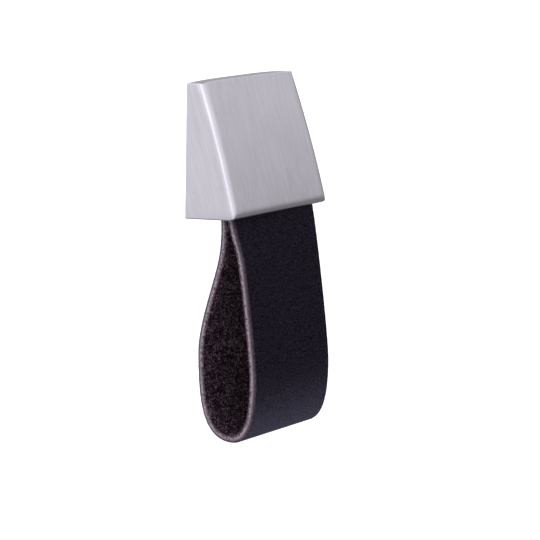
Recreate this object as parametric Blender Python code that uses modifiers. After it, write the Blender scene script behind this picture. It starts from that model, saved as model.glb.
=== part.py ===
"""A cabinet pull: a folded leather strap held in a die cast metal cap.

Metres, +Z up. The door's face is the plane Y = 0 and the pull stands in front of it, at -Y.
The origin lies on the cap's back face, midway between its two fixing holes.
"""
import math

import bmesh
import bpy
from mathutils import Matrix, Vector

MM = 0.001

# Strap
STRAP_WIDTH = 30.0 * MM
LEATHER = 2.0 * MM               # thickness of the leather
LEATHER_EDGE = 0.35 * MM         # rounding of the cut edges
FLESH_GAP = 0.25 * MM            # between the two legs where they lie together
STRAP_END = 15.5 * MM            # how far each leg runs up inside the cap
BACK_BEND = 4.2 * MM             # above the mouth, where the back leg starts to bend backwards
CURVE_STEPS = 12

# Cap, measured on its outside
CAP_HEIGHT = 32.2 * MM           # front bottom edge to the top's corners
CAP_MARGIN = 4.2 * MM            # how far the cap's bottom reaches past the strap's edges
CAP_WIDTH_BOTTOM = STRAP_WIDTH + 2 * CAP_MARGIN
CAP_TAPER = 1.0 * MM             # how much narrower each side is at the top
CAP_WIDTH_TOP = CAP_WIDTH_BOTTOM - 2 * CAP_TAPER
CAP_DEPTH_TOP = 4.9 * MM
CAP_DEPTH_BOTTOM = 15.5 * MM
FRONT_BOW = 0.6 * MM             # how far the front face bulges halfway up
TOP_ARCH = 0.5 * MM              # how far the top rises in its middle
DRAFT = 0.05                     # slope of the sides, so the casting leaves its mould
BOTTOM_DRAFT = 0.075             # slope of the bottom
SIDE_EDGE_RADIUS = 1.5 * MM      # between the front and the sides
LOW_EDGE_RADIUS = 1.8 * MM       # between the front and the bottom
EDGE_RADIUS = 0.4 * MM           # round the top and along the sides' lower edges
CAP_WALL = 1.8 * MM
INNER_RADIUS = 0.6 * MM
FACE_SEGMENTS = 12
EDGE_STEPS = 5
INNER_STEPS = 3

# Fixing holes, M4, drilled at the thread's core size
FIXING_DROP = 9.5 * MM           # below the top's corners
FIXING_HEIGHT = CAP_HEIGHT - FIXING_DROP
FIXING_SPACING = 16.0 * MM
FIXING_BORE = 3.3 * MM
FIXING_BORE_DEPTH = 5.2 * MM
FIXING_BOSS_DIAMETER = 7.6 * MM
RIB_THICKNESS = 3.0 * MM

# The loop's centre line, seen from the side: depth from the door and drop below the cap
LOOP_BACK = (1.1 * MM, 36.0 * MM)
LOOP_BOTTOM = (10.1 * MM, 56.3 * MM)
LOOP_FRONT = (17.8 * MM, 40.2 * MM)
MOUTH_PULL = (11.7 * MM, 4.5 * MM)        # handle lengths where the back and front legs leave the cap
BACK_PULL = (11.6 * MM, 11.3 * MM)        # above and below the loop's back
BOTTOM_PULL = (8.0 * MM, 4.5 * MM)        # behind and before its lowest point
FRONT_PULL = (12.6 * MM, 6.0 * MM)        # below and above its front

# Clamp: bosses of the cap, a plate and two M3 screws
CLAMP_HEIGHT = 9.5 * MM          # above the mouth, along the strap
CLAMP_INSET = 6.5 * MM           # from each edge of the strap
CLAMP_SPACING = STRAP_WIDTH - 2 * CLAMP_INSET
CLAMP_BOSS_DIAMETER = 5.0 * MM
CLAMP_BORE = 3.0 * MM
CLAMP_BORE_FLOOR = 1.4 * MM      # metal left between the bore's end and the cap's front
PLATE_HEIGHT = 8.0 * MM
PLATE_THICKNESS = 1.5 * MM
PLATE_CORNER = 1.5 * MM
PLATE_EDGE = 0.2 * MM
PLATE_SIDE = 0.9 * MM            # between the plate's ends and the cap's side walls
PLATE_HOLE = 3.4 * MM
SCREW_HEAD_DIAMETER = 5.5 * MM
SCREW_HEAD_HEIGHT = 1.9 * MM
SCREW_HEAD_ROUND = 1.0 * MM
SCREW_CORE = 2.4 * MM
SCREW_LENGTH = 6.0 * MM
RECESS_LENGTH = 2.8 * MM
RECESS_WIDTH = 0.7 * MM
RECESS_DEPTH = 1.0 * MM

# Clearances
SEAT = 0.3 * MM                  # between pieces that touch
SLOT_SIDE = 0.5 * MM             # beside the strap in the mouth
SLOT_BACK = 1.1 * MM             # behind the strap in the mouth, where the back leg bends away
PUNCH_CLEARANCE = 0.3 * MM       # round a boss in the strap's punched hole
OVERCUT = 1.0 * MM               # how far a cutter reaches past what it cuts
TURN_STEPS = 32

CAP_METAL = ("cap_metal", (0.62, 0.61, 0.63), 0.36, 1.0)
STRAP_LEATHER = ("strap_leather", (0.022, 0.021, 0.026), 0.52, 0.0)
PLATE_STEEL = ("plate_steel", (0.55, 0.55, 0.56), 0.38, 1.0)
SCREW_STEEL = ("screw_steel", (0.60, 0.60, 0.62), 0.30, 1.0)


# Scene, collections and materials

def clear_scene():
    """Remove every object of the open file."""
    for item in list(bpy.data.objects):
        bpy.data.objects.remove(item, do_unlink=True)


def new_collection(name):
    """A new collection under the scene's own."""
    collection = bpy.data.collections.new(name)
    bpy.context.scene.collection.children.link(collection)
    return collection


def material(finish):
    """A Principled material of a colour, roughness and metallic value."""
    name, colour, roughness, metallic = finish
    made = bpy.data.materials.new(name)
    made.use_nodes = True
    shader = made.node_tree.nodes["Principled BSDF"]
    shader.inputs["Base Color"].default_value = (*colour, 1.0)
    shader.inputs["Roughness"].default_value = roughness
    shader.inputs["Metallic"].default_value = metallic
    made.diffuse_color = (*colour, 1.0)
    return made


def add_object(name, data, collection, matrix=None):
    """Link a named object that carries a mesh or curve."""
    item = bpy.data.objects.new(name, data)
    collection.objects.link(item)
    if matrix is not None:
        item.matrix_world = matrix
    return item


def mesh_from(bm, name):
    """Finish a bmesh as a mesh whose faces point outwards."""
    bmesh.ops.recalc_face_normals(bm, faces=bm.faces[:])
    mesh = bpy.data.meshes.new(name)
    bm.to_mesh(mesh)
    bm.free()
    return mesh


def as_cutter(item):
    """Mark an object as a guide that is not part of the model."""
    item.hide_render = True
    item.display_type = "WIRE"
    return item


def boolean(item, operand):
    """Cut one object out of another."""
    step = item.modifiers.new(operand.name, "BOOLEAN")
    step.operation = "DIFFERENCE"
    step.solver = "EXACT"
    step.object = operand


def triangulate(item):
    """Make every face a flat triangle, so that the next cut is exact."""
    item.modifiers.new("flat_facets", "TRIANGULATE")


def bevel(item, width, segments, by_weight=False):
    """Round an object's edges, the marked ones or all that are sharp."""
    step = item.modifiers.new("rounding", "BEVEL")
    step.width = width
    step.segments = segments
    if by_weight:
        step.limit_method = "WEIGHT"
    else:
        step.limit_method = "ANGLE"
        step.angle_limit = math.radians(40)


def shade(item, angle=40):
    """Smooth shading with edges kept sharp past an angle."""
    item.data.shade_smooth()
    item.data.set_sharp_from_angle(angle=math.radians(angle))


# The cap's form

def depth_at(height):
    """Distance of the front face from the door, at a height above the front bottom edge."""
    share = height / CAP_HEIGHT
    return (CAP_DEPTH_BOTTOM + (CAP_DEPTH_TOP - CAP_DEPTH_BOTTOM) * share
            + 4 * FRONT_BOW * share * (1 - share))


def half_width_at(height, y):
    """Half the cap's width at a height, at a place in front of the door."""
    share = height / CAP_HEIGHT
    return (CAP_WIDTH_BOTTOM + (CAP_WIDTH_TOP - CAP_WIDTH_BOTTOM) * share) / 2 + DRAFT * y


FRONT_SLOPE = (CAP_DEPTH_BOTTOM - CAP_DEPTH_TOP) / CAP_HEIGHT
FRONT_WALL = CAP_WALL * math.hypot(1, FRONT_SLOPE)      # the front wall's size along Y


def cap_point(across, forward, up, wall, back):
    """A point of the cap's block, or of its hollow when there is a wall.

    across runs from -1 to 1, forward from 0 at the back to 1 at the front, up from 0 to 1.
    """
    low = -BOTTOM_DRAFT * CAP_DEPTH_BOTTOM * (1 - forward) + wall
    high = CAP_HEIGHT + TOP_ARCH * (1 - across ** 2) - wall
    front_height = wall + (high - wall) * up
    front = -(depth_at(front_height) - (FRONT_WALL if wall else 0.0))
    y = back + (front - back) * forward
    height = low + (high - low) * up
    x = across * (half_width_at(height, y) - wall)
    return Vector((x, y, height - FIXING_HEIGHT))


def outer_radius(middle):
    """The rounding of the cap's outer edge whose middle lies at a place of the two-unit cube."""
    if middle.y > -0.999:
        return EDGE_RADIUS
    if abs(middle.x) > 0.999:
        return SIDE_EDGE_RADIUS
    return LOW_EDGE_RADIUS if middle.z < 0 else EDGE_RADIUS


def inner_radius(middle):
    """The rounding of the hollow's edges, the same for all."""
    return INNER_RADIUS


def cap_block(name, collection, radius_at=outer_radius, steps=EDGE_STEPS, wall=0.0, back=0.0):
    """A six-sided block with the cap's curved faces and rounded edges, its back edges sharp."""
    bm = bmesh.new()
    bmesh.ops.create_cube(bm, size=2.0)
    for index in range(1, FACE_SEGMENTS):
        place = -1 + 2 * index / FACE_SEGMENTS
        for axis in (Vector((1, 0, 0)), Vector((0, 0, 1))):
            everything = bm.verts[:] + bm.edges[:] + bm.faces[:]
            bmesh.ops.bisect_plane(bm, geom=everything, plane_co=axis * place, plane_no=axis)
    bm.normal_update()
    flat_back = [edge for edge in bm.edges
                 if edge.calc_face_angle(0) < 0.1 and all(vertex.co.y > 0.999 for vertex in edge.verts)]
    bmesh.ops.dissolve_edges(bm, edges=flat_back, use_verts=True)
    weight = bm.edges.layers.float.new("bevel_weight_edge")
    for edge in bm.edges:
        corner = edge.calc_face_angle(0) > math.radians(45)
        at_back = all(vertex.co.y > 0.999 for vertex in edge.verts)
        middle = (edge.verts[0].co + edge.verts[1].co) / 2
        edge[weight] = radius_at(middle) / LOW_EDGE_RADIUS if corner and not at_back else 0.0
    for vertex in bm.verts:
        across, rear, up = vertex.co
        vertex.co = cap_point(across, (1 - rear) / 2, (1 + up) / 2, wall, back)
    item = add_object(name, mesh_from(bm, name), collection)
    bevel(item, LOW_EDGE_RADIUS, steps, by_weight=True)
    triangulate(item)
    return item


# The clamp's own frame: along the strap's legs, and out from the front wall

CLAMP_ANGLE = math.atan2(depth_at(0) - depth_at(STRAP_END), STRAP_END)
ALONG = Vector((0, math.sin(CLAMP_ANGLE), math.cos(CLAMP_ANGLE)))
OUT = Vector((0, math.cos(CLAMP_ANGLE), -math.sin(CLAMP_ANGLE)))
MOUTH = Vector((0, -(CAP_DEPTH_BOTTOM - FRONT_WALL), -FIXING_HEIGHT))

FRONT_LEG = SEAT + LEATHER / 2
BACK_LEG = FRONT_LEG + LEATHER + FLESH_GAP
STACK = BACK_LEG + LEATHER / 2
PLATE_FACE = STACK + SEAT
HEAD_SEAT = PLATE_FACE + PLATE_THICKNESS + SEAT


def clamp_point(across, along, out):
    """A point given across the strap, up along its legs and out from the front wall."""
    return MOUTH + Vector((across, 0, 0)) + ALONG * along + OUT * out


def clamp_matrix(across, along, out):
    """A place in the clamp's frame whose Z axis points out from the front wall."""
    turn = Matrix.Rotation(-(math.pi / 2 + CLAMP_ANGLE), 4, "X")
    return Matrix.Translation(clamp_point(across, along, out)) @ turn


PLATE_TOP = clamp_point(0, CLAMP_HEIGHT + PLATE_HEIGHT / 2, PLATE_FACE)
PLATE_WIDTH = 2 * (half_width_at(PLATE_TOP.z + FIXING_HEIGHT, PLATE_TOP.y) - CAP_WALL - PLATE_SIDE)


def cylinder(name, collection, diameter, length, matrix, tip=0.0):
    """A cylinder from the matrix's origin along its -Z, with a drill's point if asked."""
    bm = bmesh.new()
    radius = diameter / 2
    bmesh.ops.create_cone(bm, cap_ends=True, segments=TURN_STEPS, radius1=radius, radius2=radius,
                          depth=length, matrix=Matrix.Translation((0, 0, -length / 2)))
    if tip:
        floor = [face for face in bm.faces if face.normal.z < -0.9]
        poked = bmesh.ops.poke(bm, faces=floor)
        for vertex in poked["verts"]:
            vertex.co.z -= tip
    return add_object(name, mesh_from(bm, name), collection, matrix)


def box(name, collection, size, matrix):
    """A box centred on the matrix's origin."""
    bm = bmesh.new()
    bmesh.ops.create_cube(bm, size=1.0, matrix=Matrix.Diagonal((*size, 1.0)))
    return add_object(name, mesh_from(bm, name), collection, matrix)


# Pieces

def make_cap(parts, cutters):
    """The cap: a drafted shell with fixing and clamp bosses, a cross rib and the strap's mouth."""
    cap = cap_block("cap", parts)
    hollow = as_cutter(cap_block("cap_hollow", cutters, inner_radius, INNER_STEPS, CAP_WALL, OVERCUT))
    reach = CAP_DEPTH_BOTTOM + 2 * OVERCUT
    middle = Matrix.Translation((0, OVERCUT - reach / 2, 0))
    rib = box("rib_core", cutters, (2 * CAP_WIDTH_BOTTOM, reach + 2 * OVERCUT, RIB_THICKNESS), middle)
    boolean(hollow, as_cutter(rib))
    facing = Matrix.Rotation(-math.pi / 2, 4, "X")
    for side, label in ((-1, "left"), (1, "right")):
        place = Matrix.Translation((side * FIXING_SPACING / 2, 2 * OVERCUT, 0)) @ facing
        boss = cylinder("fixing_boss_" + label, cutters, FIXING_BOSS_DIAMETER, reach + 2 * OVERCUT, place)
        boolean(hollow, as_cutter(boss))
        top = PLATE_FACE - SEAT
        place = clamp_matrix(side * CLAMP_SPACING / 2, CLAMP_HEIGHT, top)
        boss = cylinder("clamp_boss_" + label, cutters, CLAMP_BOSS_DIAMETER, top + 2 * OVERCUT, place)
        boolean(hollow, as_cutter(boss))
    boolean(cap, hollow)

    mouth_front = SEAT / 2
    mouth_back = STACK + SLOT_BACK
    mouth_size = (STRAP_WIDTH + 2 * SLOT_SIDE, 2 * (CAP_WALL + 2 * OVERCUT), mouth_back - mouth_front)
    mouth = box("mouth", cutters, mouth_size, clamp_matrix(0, 0, (mouth_front + mouth_back) / 2))
    boolean(cap, as_cutter(mouth))
    for side, label in ((-1, "left"), (1, "right")):
        place = Matrix.Translation((side * FIXING_SPACING / 2, OVERCUT, 0)) @ facing
        bore = cylinder("fixing_bore_" + label, cutters, FIXING_BORE, FIXING_BORE_DEPTH + OVERCUT, place,
                        tip=0.3 * FIXING_BORE / 2)
        boolean(cap, as_cutter(bore))
        top = PLATE_FACE + OVERCUT
        place = clamp_matrix(side * CLAMP_SPACING / 2, CLAMP_HEIGHT, top)
        bore = cylinder("clamp_bore_" + label, cutters, CLAMP_BORE, top + CAP_WALL - CLAMP_BORE_FLOOR, place)
        boolean(cap, as_cutter(bore))
    cap.data.materials.append(material(CAP_METAL))
    shade(cap, 30)


def side_point(place):
    """A world point from a depth in front of the door and a drop below the cap's front edge."""
    depth, drop = place
    return Vector((0, -depth, -drop - FIXING_HEIGHT))


def strap_line():
    """The strap's centre line: each point with the handles before and after it."""
    down = Vector((0, 0, -1))
    forward = Vector((0, -1, 0))
    back_mouth = clamp_point(0, BACK_BEND, BACK_LEG)
    front_mouth = clamp_point(0, 0, FRONT_LEG)
    straight = ALONG * ((STRAP_END - BACK_BEND) / 3)
    back_end = clamp_point(0, STRAP_END, BACK_LEG)
    front_end = clamp_point(0, STRAP_END, FRONT_LEG)
    back, bottom, front = (side_point(place) for place in (LOOP_BACK, LOOP_BOTTOM, LOOP_FRONT))
    return [
        (back_end + straight, back_end, back_end - straight),
        (back_mouth + straight, back_mouth, back_mouth - ALONG * MOUTH_PULL[0]),
        (back - down * BACK_PULL[0], back, back + down * BACK_PULL[1]),
        (bottom - forward * BOTTOM_PULL[0], bottom, bottom + forward * BOTTOM_PULL[1]),
        (front + down * FRONT_PULL[0], front, front - down * FRONT_PULL[1]),
        (front_mouth - ALONG * MOUTH_PULL[1], front_mouth, front_mouth + straight),
        (front_end - straight, front_end, front_end + straight),
    ]


def make_strap(parts, cutters):
    """The strap: one strip of leather folded into a loop, its ends punched for the clamp's bosses."""
    curve = bpy.data.curves.new("strap_side", "CURVE")
    curve.dimensions = "2D"
    curve.fill_mode = "NONE"
    curve.resolution_u = CURVE_STEPS
    curve.extrude = STRAP_WIDTH / 2
    line = strap_line()
    spline = curve.splines.new("BEZIER")
    spline.bezier_points.add(len(line) - 1)
    for point, (before, here, after) in zip(spline.bezier_points, line):
        point.handle_left_type = "FREE"
        point.handle_right_type = "FREE"
        point.handle_left = (before.y, before.z, 0)
        point.co = (here.y, here.z, 0)
        point.handle_right = (after.y, after.z, 0)
    on_side = Matrix.Rotation(math.pi / 2, 4, "Z") @ Matrix.Rotation(math.pi / 2, 4, "X")
    guide = add_object("strap_side", curve, cutters, on_side)
    bpy.context.view_layer.update()
    mesh = bpy.data.meshes.new_from_object(guide.evaluated_get(bpy.context.evaluated_depsgraph_get()))
    bm = bmesh.new()
    bm.from_mesh(mesh)
    bmesh.ops.remove_doubles(bm, verts=bm.verts[:], dist=0.00001)
    bm.to_mesh(mesh)
    bm.free()
    strap = add_object("strap", mesh, parts, guide.matrix_world.copy())
    bpy.data.objects.remove(guide, do_unlink=True)

    thick = strap.modifiers.new("leather", "SOLIDIFY")
    thick.thickness = LEATHER
    thick.offset = 0
    thick.use_even_offset = True
    bevel(strap, LEATHER_EDGE, 2)
    for side, label in ((-1, "left"), (1, "right")):
        place = clamp_matrix(side * CLAMP_SPACING / 2, CLAMP_HEIGHT, STACK + OVERCUT)
        hole = cylinder("punched_hole_" + label, cutters, CLAMP_BOSS_DIAMETER + 2 * PUNCH_CLEARANCE,
                        STACK + 2 * OVERCUT, place)
        boolean(strap, as_cutter(hole))
    strap.data.materials.clear()
    strap.data.materials.append(material(STRAP_LEATHER))
    shade(strap)


def make_clamp_plate(parts, cutters):
    """The steel plate that presses the strap's two ends together."""
    bm = bmesh.new()
    size = Matrix.Diagonal((PLATE_WIDTH, PLATE_HEIGHT, PLATE_THICKNESS, 1.0))
    bmesh.ops.create_cube(bm, size=1.0, matrix=size)
    corners = [edge for edge in bm.edges if abs(edge.verts[0].co.z - edge.verts[1].co.z) > PLATE_EDGE]
    bmesh.ops.bevel(bm, geom=corners, offset=PLATE_CORNER, offset_type="OFFSET", segments=6, profile=0.5,
                    affect="EDGES")
    place = clamp_matrix(0, CLAMP_HEIGHT, PLATE_FACE + PLATE_THICKNESS / 2)
    plate = add_object("clamp_plate", mesh_from(bm, "clamp_plate"), parts, place)
    bevel(plate, PLATE_EDGE, 1)
    for side, label in ((-1, "left"), (1, "right")):
        top = PLATE_FACE + PLATE_THICKNESS + OVERCUT
        place = clamp_matrix(side * CLAMP_SPACING / 2, CLAMP_HEIGHT, top)
        hole = cylinder("plate_hole_" + label, cutters, PLATE_HOLE, PLATE_THICKNESS + 2 * OVERCUT, place)
        boolean(plate, as_cutter(hole))
    plate.data.materials.append(material(PLATE_STEEL))
    shade(plate)


def screw_profile():
    """Half the screw's outline, from the middle of its head down to its end."""
    radius = SCREW_HEAD_DIAMETER / 2
    flat = radius - SCREW_HEAD_ROUND
    points = [(0, SCREW_HEAD_HEIGHT), (flat, SCREW_HEAD_HEIGHT)]
    for index in range(1, 7):
        angle = math.pi / 2 * index / 6
        points.append((flat + SCREW_HEAD_ROUND * math.sin(angle),
                       SCREW_HEAD_HEIGHT - SCREW_HEAD_ROUND * (1 - math.cos(angle))))
    chamfer = SCREW_CORE / 6
    points += [(radius, 0), (SCREW_CORE / 2, 0), (SCREW_CORE / 2, chamfer - SCREW_LENGTH),
               (SCREW_CORE / 2 - chamfer, -SCREW_LENGTH), (0, -SCREW_LENGTH)]
    return points


def make_clamp_screws(parts, cutters):
    """Two pan head screws with cross recesses; their mesh is shared."""
    bm = bmesh.new()
    vertices = [bm.verts.new((radius, 0, height)) for radius, height in screw_profile()]
    for first, second in zip(vertices, vertices[1:]):
        bm.edges.new((first, second))
    mesh = bpy.data.meshes.new("clamp_screw")
    bm.to_mesh(mesh)
    bm.free()
    mesh.materials.append(material(SCREW_STEEL))
    for side, label in ((-1, "left"), (1, "right")):
        place = clamp_matrix(side * CLAMP_SPACING / 2, CLAMP_HEIGHT, HEAD_SEAT)
        screw = add_object("clamp_screw_" + label, mesh, parts, place)
        turn = screw.modifiers.new("turned", "SCREW")
        turn.axis = "Z"
        turn.steps = TURN_STEPS
        turn.render_steps = TURN_STEPS
        turn.use_merge_vertices = True
        turn.merge_threshold = 0.00001
        for arm, length, width in (("a", RECESS_LENGTH, RECESS_WIDTH), ("b", RECESS_WIDTH, RECESS_LENGTH)):
            size = (length, width, 2 * RECESS_DEPTH)
            recess = box(f"recess_{label}_{arm}", cutters, size,
                         place @ Matrix.Translation((0, 0, SCREW_HEAD_HEIGHT)))
            boolean(screw, as_cutter(recess))


def main():
    """Build the pull."""
    clear_scene()
    parts = new_collection("leather_pull")
    cutters = new_collection("cutters")
    make_cap(parts, cutters)
    make_strap(parts, cutters)
    make_clamp_plate(parts, cutters)
    make_clamp_screws(parts, cutters)
    bpy.context.view_layer.update()


main()
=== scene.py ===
"""Looks of a cabinet pull: a folded black leather strap in a satin metal cap.

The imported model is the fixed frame. The cap, the strap and the clamp screws are modelled here
again with finer surfaces, at the solids' sizes apart from the small differences that their classes
name, and the clamp plate keeps its solid. Everything is in metres, +Z up, with the door's face on
the plane Y = 0 and the pull in front of it, at -Y.
"""
import enum
import logging
import math
from dataclasses import dataclass, field
from typing import Any, Callable, Iterable, Sequence, Union

import bmesh
import bpy
from mathutils import Matrix, Vector, noise


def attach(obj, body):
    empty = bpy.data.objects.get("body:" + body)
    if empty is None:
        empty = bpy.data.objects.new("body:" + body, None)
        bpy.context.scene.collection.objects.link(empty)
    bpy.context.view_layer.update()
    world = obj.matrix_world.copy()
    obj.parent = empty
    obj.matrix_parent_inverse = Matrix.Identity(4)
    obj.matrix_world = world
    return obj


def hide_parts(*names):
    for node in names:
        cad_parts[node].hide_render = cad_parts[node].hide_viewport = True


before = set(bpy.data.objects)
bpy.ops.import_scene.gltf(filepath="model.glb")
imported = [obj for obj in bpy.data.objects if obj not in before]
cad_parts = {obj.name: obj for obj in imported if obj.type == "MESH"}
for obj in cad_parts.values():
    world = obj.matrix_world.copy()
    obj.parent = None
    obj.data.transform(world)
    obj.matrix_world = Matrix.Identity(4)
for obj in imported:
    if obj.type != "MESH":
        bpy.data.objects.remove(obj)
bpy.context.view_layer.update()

logging.basicConfig(level=logging.INFO, format="%(message)s")
LOG = logging.getLogger("leather_pull")

MM = 0.001
BODY = "root"

Operand = Union["Value", float]
Inputs = dict[Union[str, int], Any]
Colour = tuple[float, float, float]


# Node graphs

class Value:
    """A number socket of a node tree. Arithmetic on it adds Math nodes."""

    def __init__(self, graph: "Graph", socket: bpy.types.NodeSocket) -> None:
        """Wrap an output socket.

        Args:
            graph: the graph that the socket belongs to.
            socket: the output socket.
        """
        self.graph = graph
        self.socket = socket

    def math(self, operation: str, *others: Operand, first: bool = True) -> "Value":
        """Add a Math node.

        Args:
            operation: the node's operation.
            others: its other operands.
            first: whether this value is the first operand, and not the last.

        Returns:
            The node's result.
        """
        operands = (self, *others) if first else (*others, self)
        node = self.graph.node("ShaderNodeMath", dict(enumerate(operands)), operation=operation)
        return Value(self.graph, node.outputs[0])

    def __add__(self, other: Operand) -> "Value":
        """Sum."""
        return self.math("ADD", other)

    __radd__ = __add__

    def __sub__(self, other: Operand) -> "Value":
        """Difference."""
        return self.math("SUBTRACT", other)

    def __rsub__(self, other: Operand) -> "Value":
        """Difference with this value last."""
        return self.math("SUBTRACT", other, first=False)

    def __mul__(self, other: Operand) -> "Value":
        """Product."""
        return self.math("MULTIPLY", other)

    __rmul__ = __mul__

    def __truediv__(self, other: Operand) -> "Value":
        """Quotient."""
        return self.math("DIVIDE", other)

    def __pow__(self, other: Operand) -> "Value":
        """Power."""
        return self.math("POWER", other)

    def step(self, low: float, high: float, to_low: float = 0.0, to_high: float = 1.0) -> "Value":
        """Smooth step, held at its ends.

        Args:
            low: where the step starts.
            high: where it ends.
            to_low: the result at and before its start.
            to_high: the result at and past its end.

        Returns:
            The stepped value.
        """
        inputs = {"Value": self, "From Min": low, "From Max": high, "To Min": to_low, "To Max": to_high}
        node = self.graph.node("ShaderNodeMapRange", inputs, interpolation_type="SMOOTHSTEP")
        return Value(self.graph, node.outputs[0])


class Graph:
    """A node tree that nodes are added to."""

    def __init__(self, tree: bpy.types.NodeTree) -> None:
        """Wrap a node tree."""
        self.tree = tree

    def node(self, kind: str, inputs: Inputs, **settings: Any) -> bpy.types.Node:
        """Add a node.

        Args:
            kind: the node's type.
            inputs: values or links by socket name or index.
            settings: the node's own settings, which are set first.

        Returns:
            The new node.
        """
        made = self.tree.nodes.new(kind)
        for name, value in settings.items():
            setattr(made, name, value)
        for key, value in inputs.items():
            self.feed(made.inputs[key], value)
        return made

    def feed(self, socket: bpy.types.NodeSocket, value: Any) -> None:
        """Link or set a socket.

        Args:
            socket: the input socket.
            value: a Value or an output socket to link, or a constant.
        """
        if isinstance(value, Value):
            self.tree.links.new(value.socket, socket)
        elif isinstance(value, bpy.types.NodeSocket):
            self.tree.links.new(value, socket)
        else:
            socket.default_value = value

    def value(self, kind: str, inputs: Inputs, output: Union[str, int] = 0, **settings: Any) -> Value:
        """Add a node and wrap one of its outputs."""
        return Value(self, self.node(kind, inputs, **settings).outputs[output])

    def attribute(self, name: str) -> Value:
        """A float attribute of the mesh, in a material."""
        return self.value("ShaderNodeAttribute", {}, "Fac", attribute_name=name)

    def ramp(self, factor: Operand, stops: Sequence[tuple[float, Sequence[float]]]) -> bpy.types.NodeSocket:
        """A colour ramp.

        Args:
            factor: what it reads.
            stops: its places and colours, from low to high.

        Returns:
            The colour socket.
        """
        made = self.node("ShaderNodeValToRGB", {0: factor})
        elements = made.color_ramp.elements
        while len(elements) < len(stops):
            elements.new(0.5)
        for element, (place, colour) in zip(elements, stops):
            element.position = place
            element.color = (*colour, 1.0)
        return made.outputs["Color"]

    def mix(self, factor: Operand, first: Any, second: Any) -> bpy.types.NodeSocket:
        """Mix two colours.

        Args:
            factor: the second colour's share.
            first: a colour or a colour socket.
            second: the other one.

        Returns:
            The colour socket.
        """
        made = self.node("ShaderNodeMix", {0: factor}, data_type="RGBA")
        for index, colour in ((6, first), (7, second)):
            self.feed(made.inputs[index], (*colour, 1.0) if isinstance(colour, tuple) else colour)
        return made.outputs[2]


class Surface(Graph):
    """The graph of one Principled material, whose textures read Object coordinates."""

    def __init__(self, name: str) -> None:
        """Make an empty material with its shader and output.

        Args:
            name: the material's name.
        """
        self.material = bpy.data.materials.new(name)
        self.material.use_nodes = True
        super().__init__(self.material.node_tree)
        self.tree.nodes.clear()
        self.shader = self.node("ShaderNodeBsdfPrincipled", {})
        self.node("ShaderNodeOutputMaterial", {"Surface": self.shader.outputs[0]})
        self.place = self.node("ShaderNodeTexCoord", {}).outputs["Object"]

    def stretched(self, scale: Sequence[float], slant: float = 0.0) -> bpy.types.NodeSocket:
        """Object coordinates scaled along each axis.

        Args:
            scale: the scale along X, Y and Z.
            slant: turns the pattern about X, in radians.

        Returns:
            The vector socket.
        """
        turned = self.node("ShaderNodeMapping", {"Vector": self.place, "Rotation": (slant, 0.0, 0.0)})
        scaled = self.node("ShaderNodeVectorMath", {0: turned.outputs[0], 1: scale}, operation="MULTIPLY")
        return scaled.outputs[0]

    def noise(self, where: Any, scale: float, detail: float = 2.0, roughness: float = 0.5) -> Value:
        """A noise texture.

        Args:
            where: the vector that it reads.
            scale: cycles for each unit of that vector.
            detail: its octaves.
            roughness: how strong the finer octaves are.

        Returns:
            The noise, around a half.
        """
        inputs = {"Vector": where, "Scale": scale, "Detail": detail, "Roughness": roughness}
        return self.value("ShaderNodeTexNoise", inputs, "Fac")

    def cells(self, where: Any, scale: float, output: str = "Distance", feature: str = "F1") -> Value:
        """A Voronoi texture."""
        inputs = {"Vector": where, "Scale": scale}
        return self.value("ShaderNodeTexVoronoi", inputs, output, feature=feature)

    def bump(self, height: Value) -> bpy.types.NodeSocket:
        """A normal from a height in metres."""
        made = self.node("ShaderNodeBump", {"Strength": 1.0, "Distance": 1.0, "Height": height})
        return made.outputs[0]

    def finish(self, **sockets: Any) -> bpy.types.Material:
        """Feed the shader's sockets.

        Args:
            sockets: values or links, named with underscores for spaces.

        Returns:
            The material.
        """
        for name, value in sockets.items():
            self.feed(self.shader.inputs[name.replace("_", " ")], value)
        return self.material


# Finishes

def toned(colour: Colour, factor: float) -> Colour:
    """A colour made darker or lighter by a factor."""
    red, green, blue = colour
    return red * factor, green * factor, blue * factor


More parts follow.
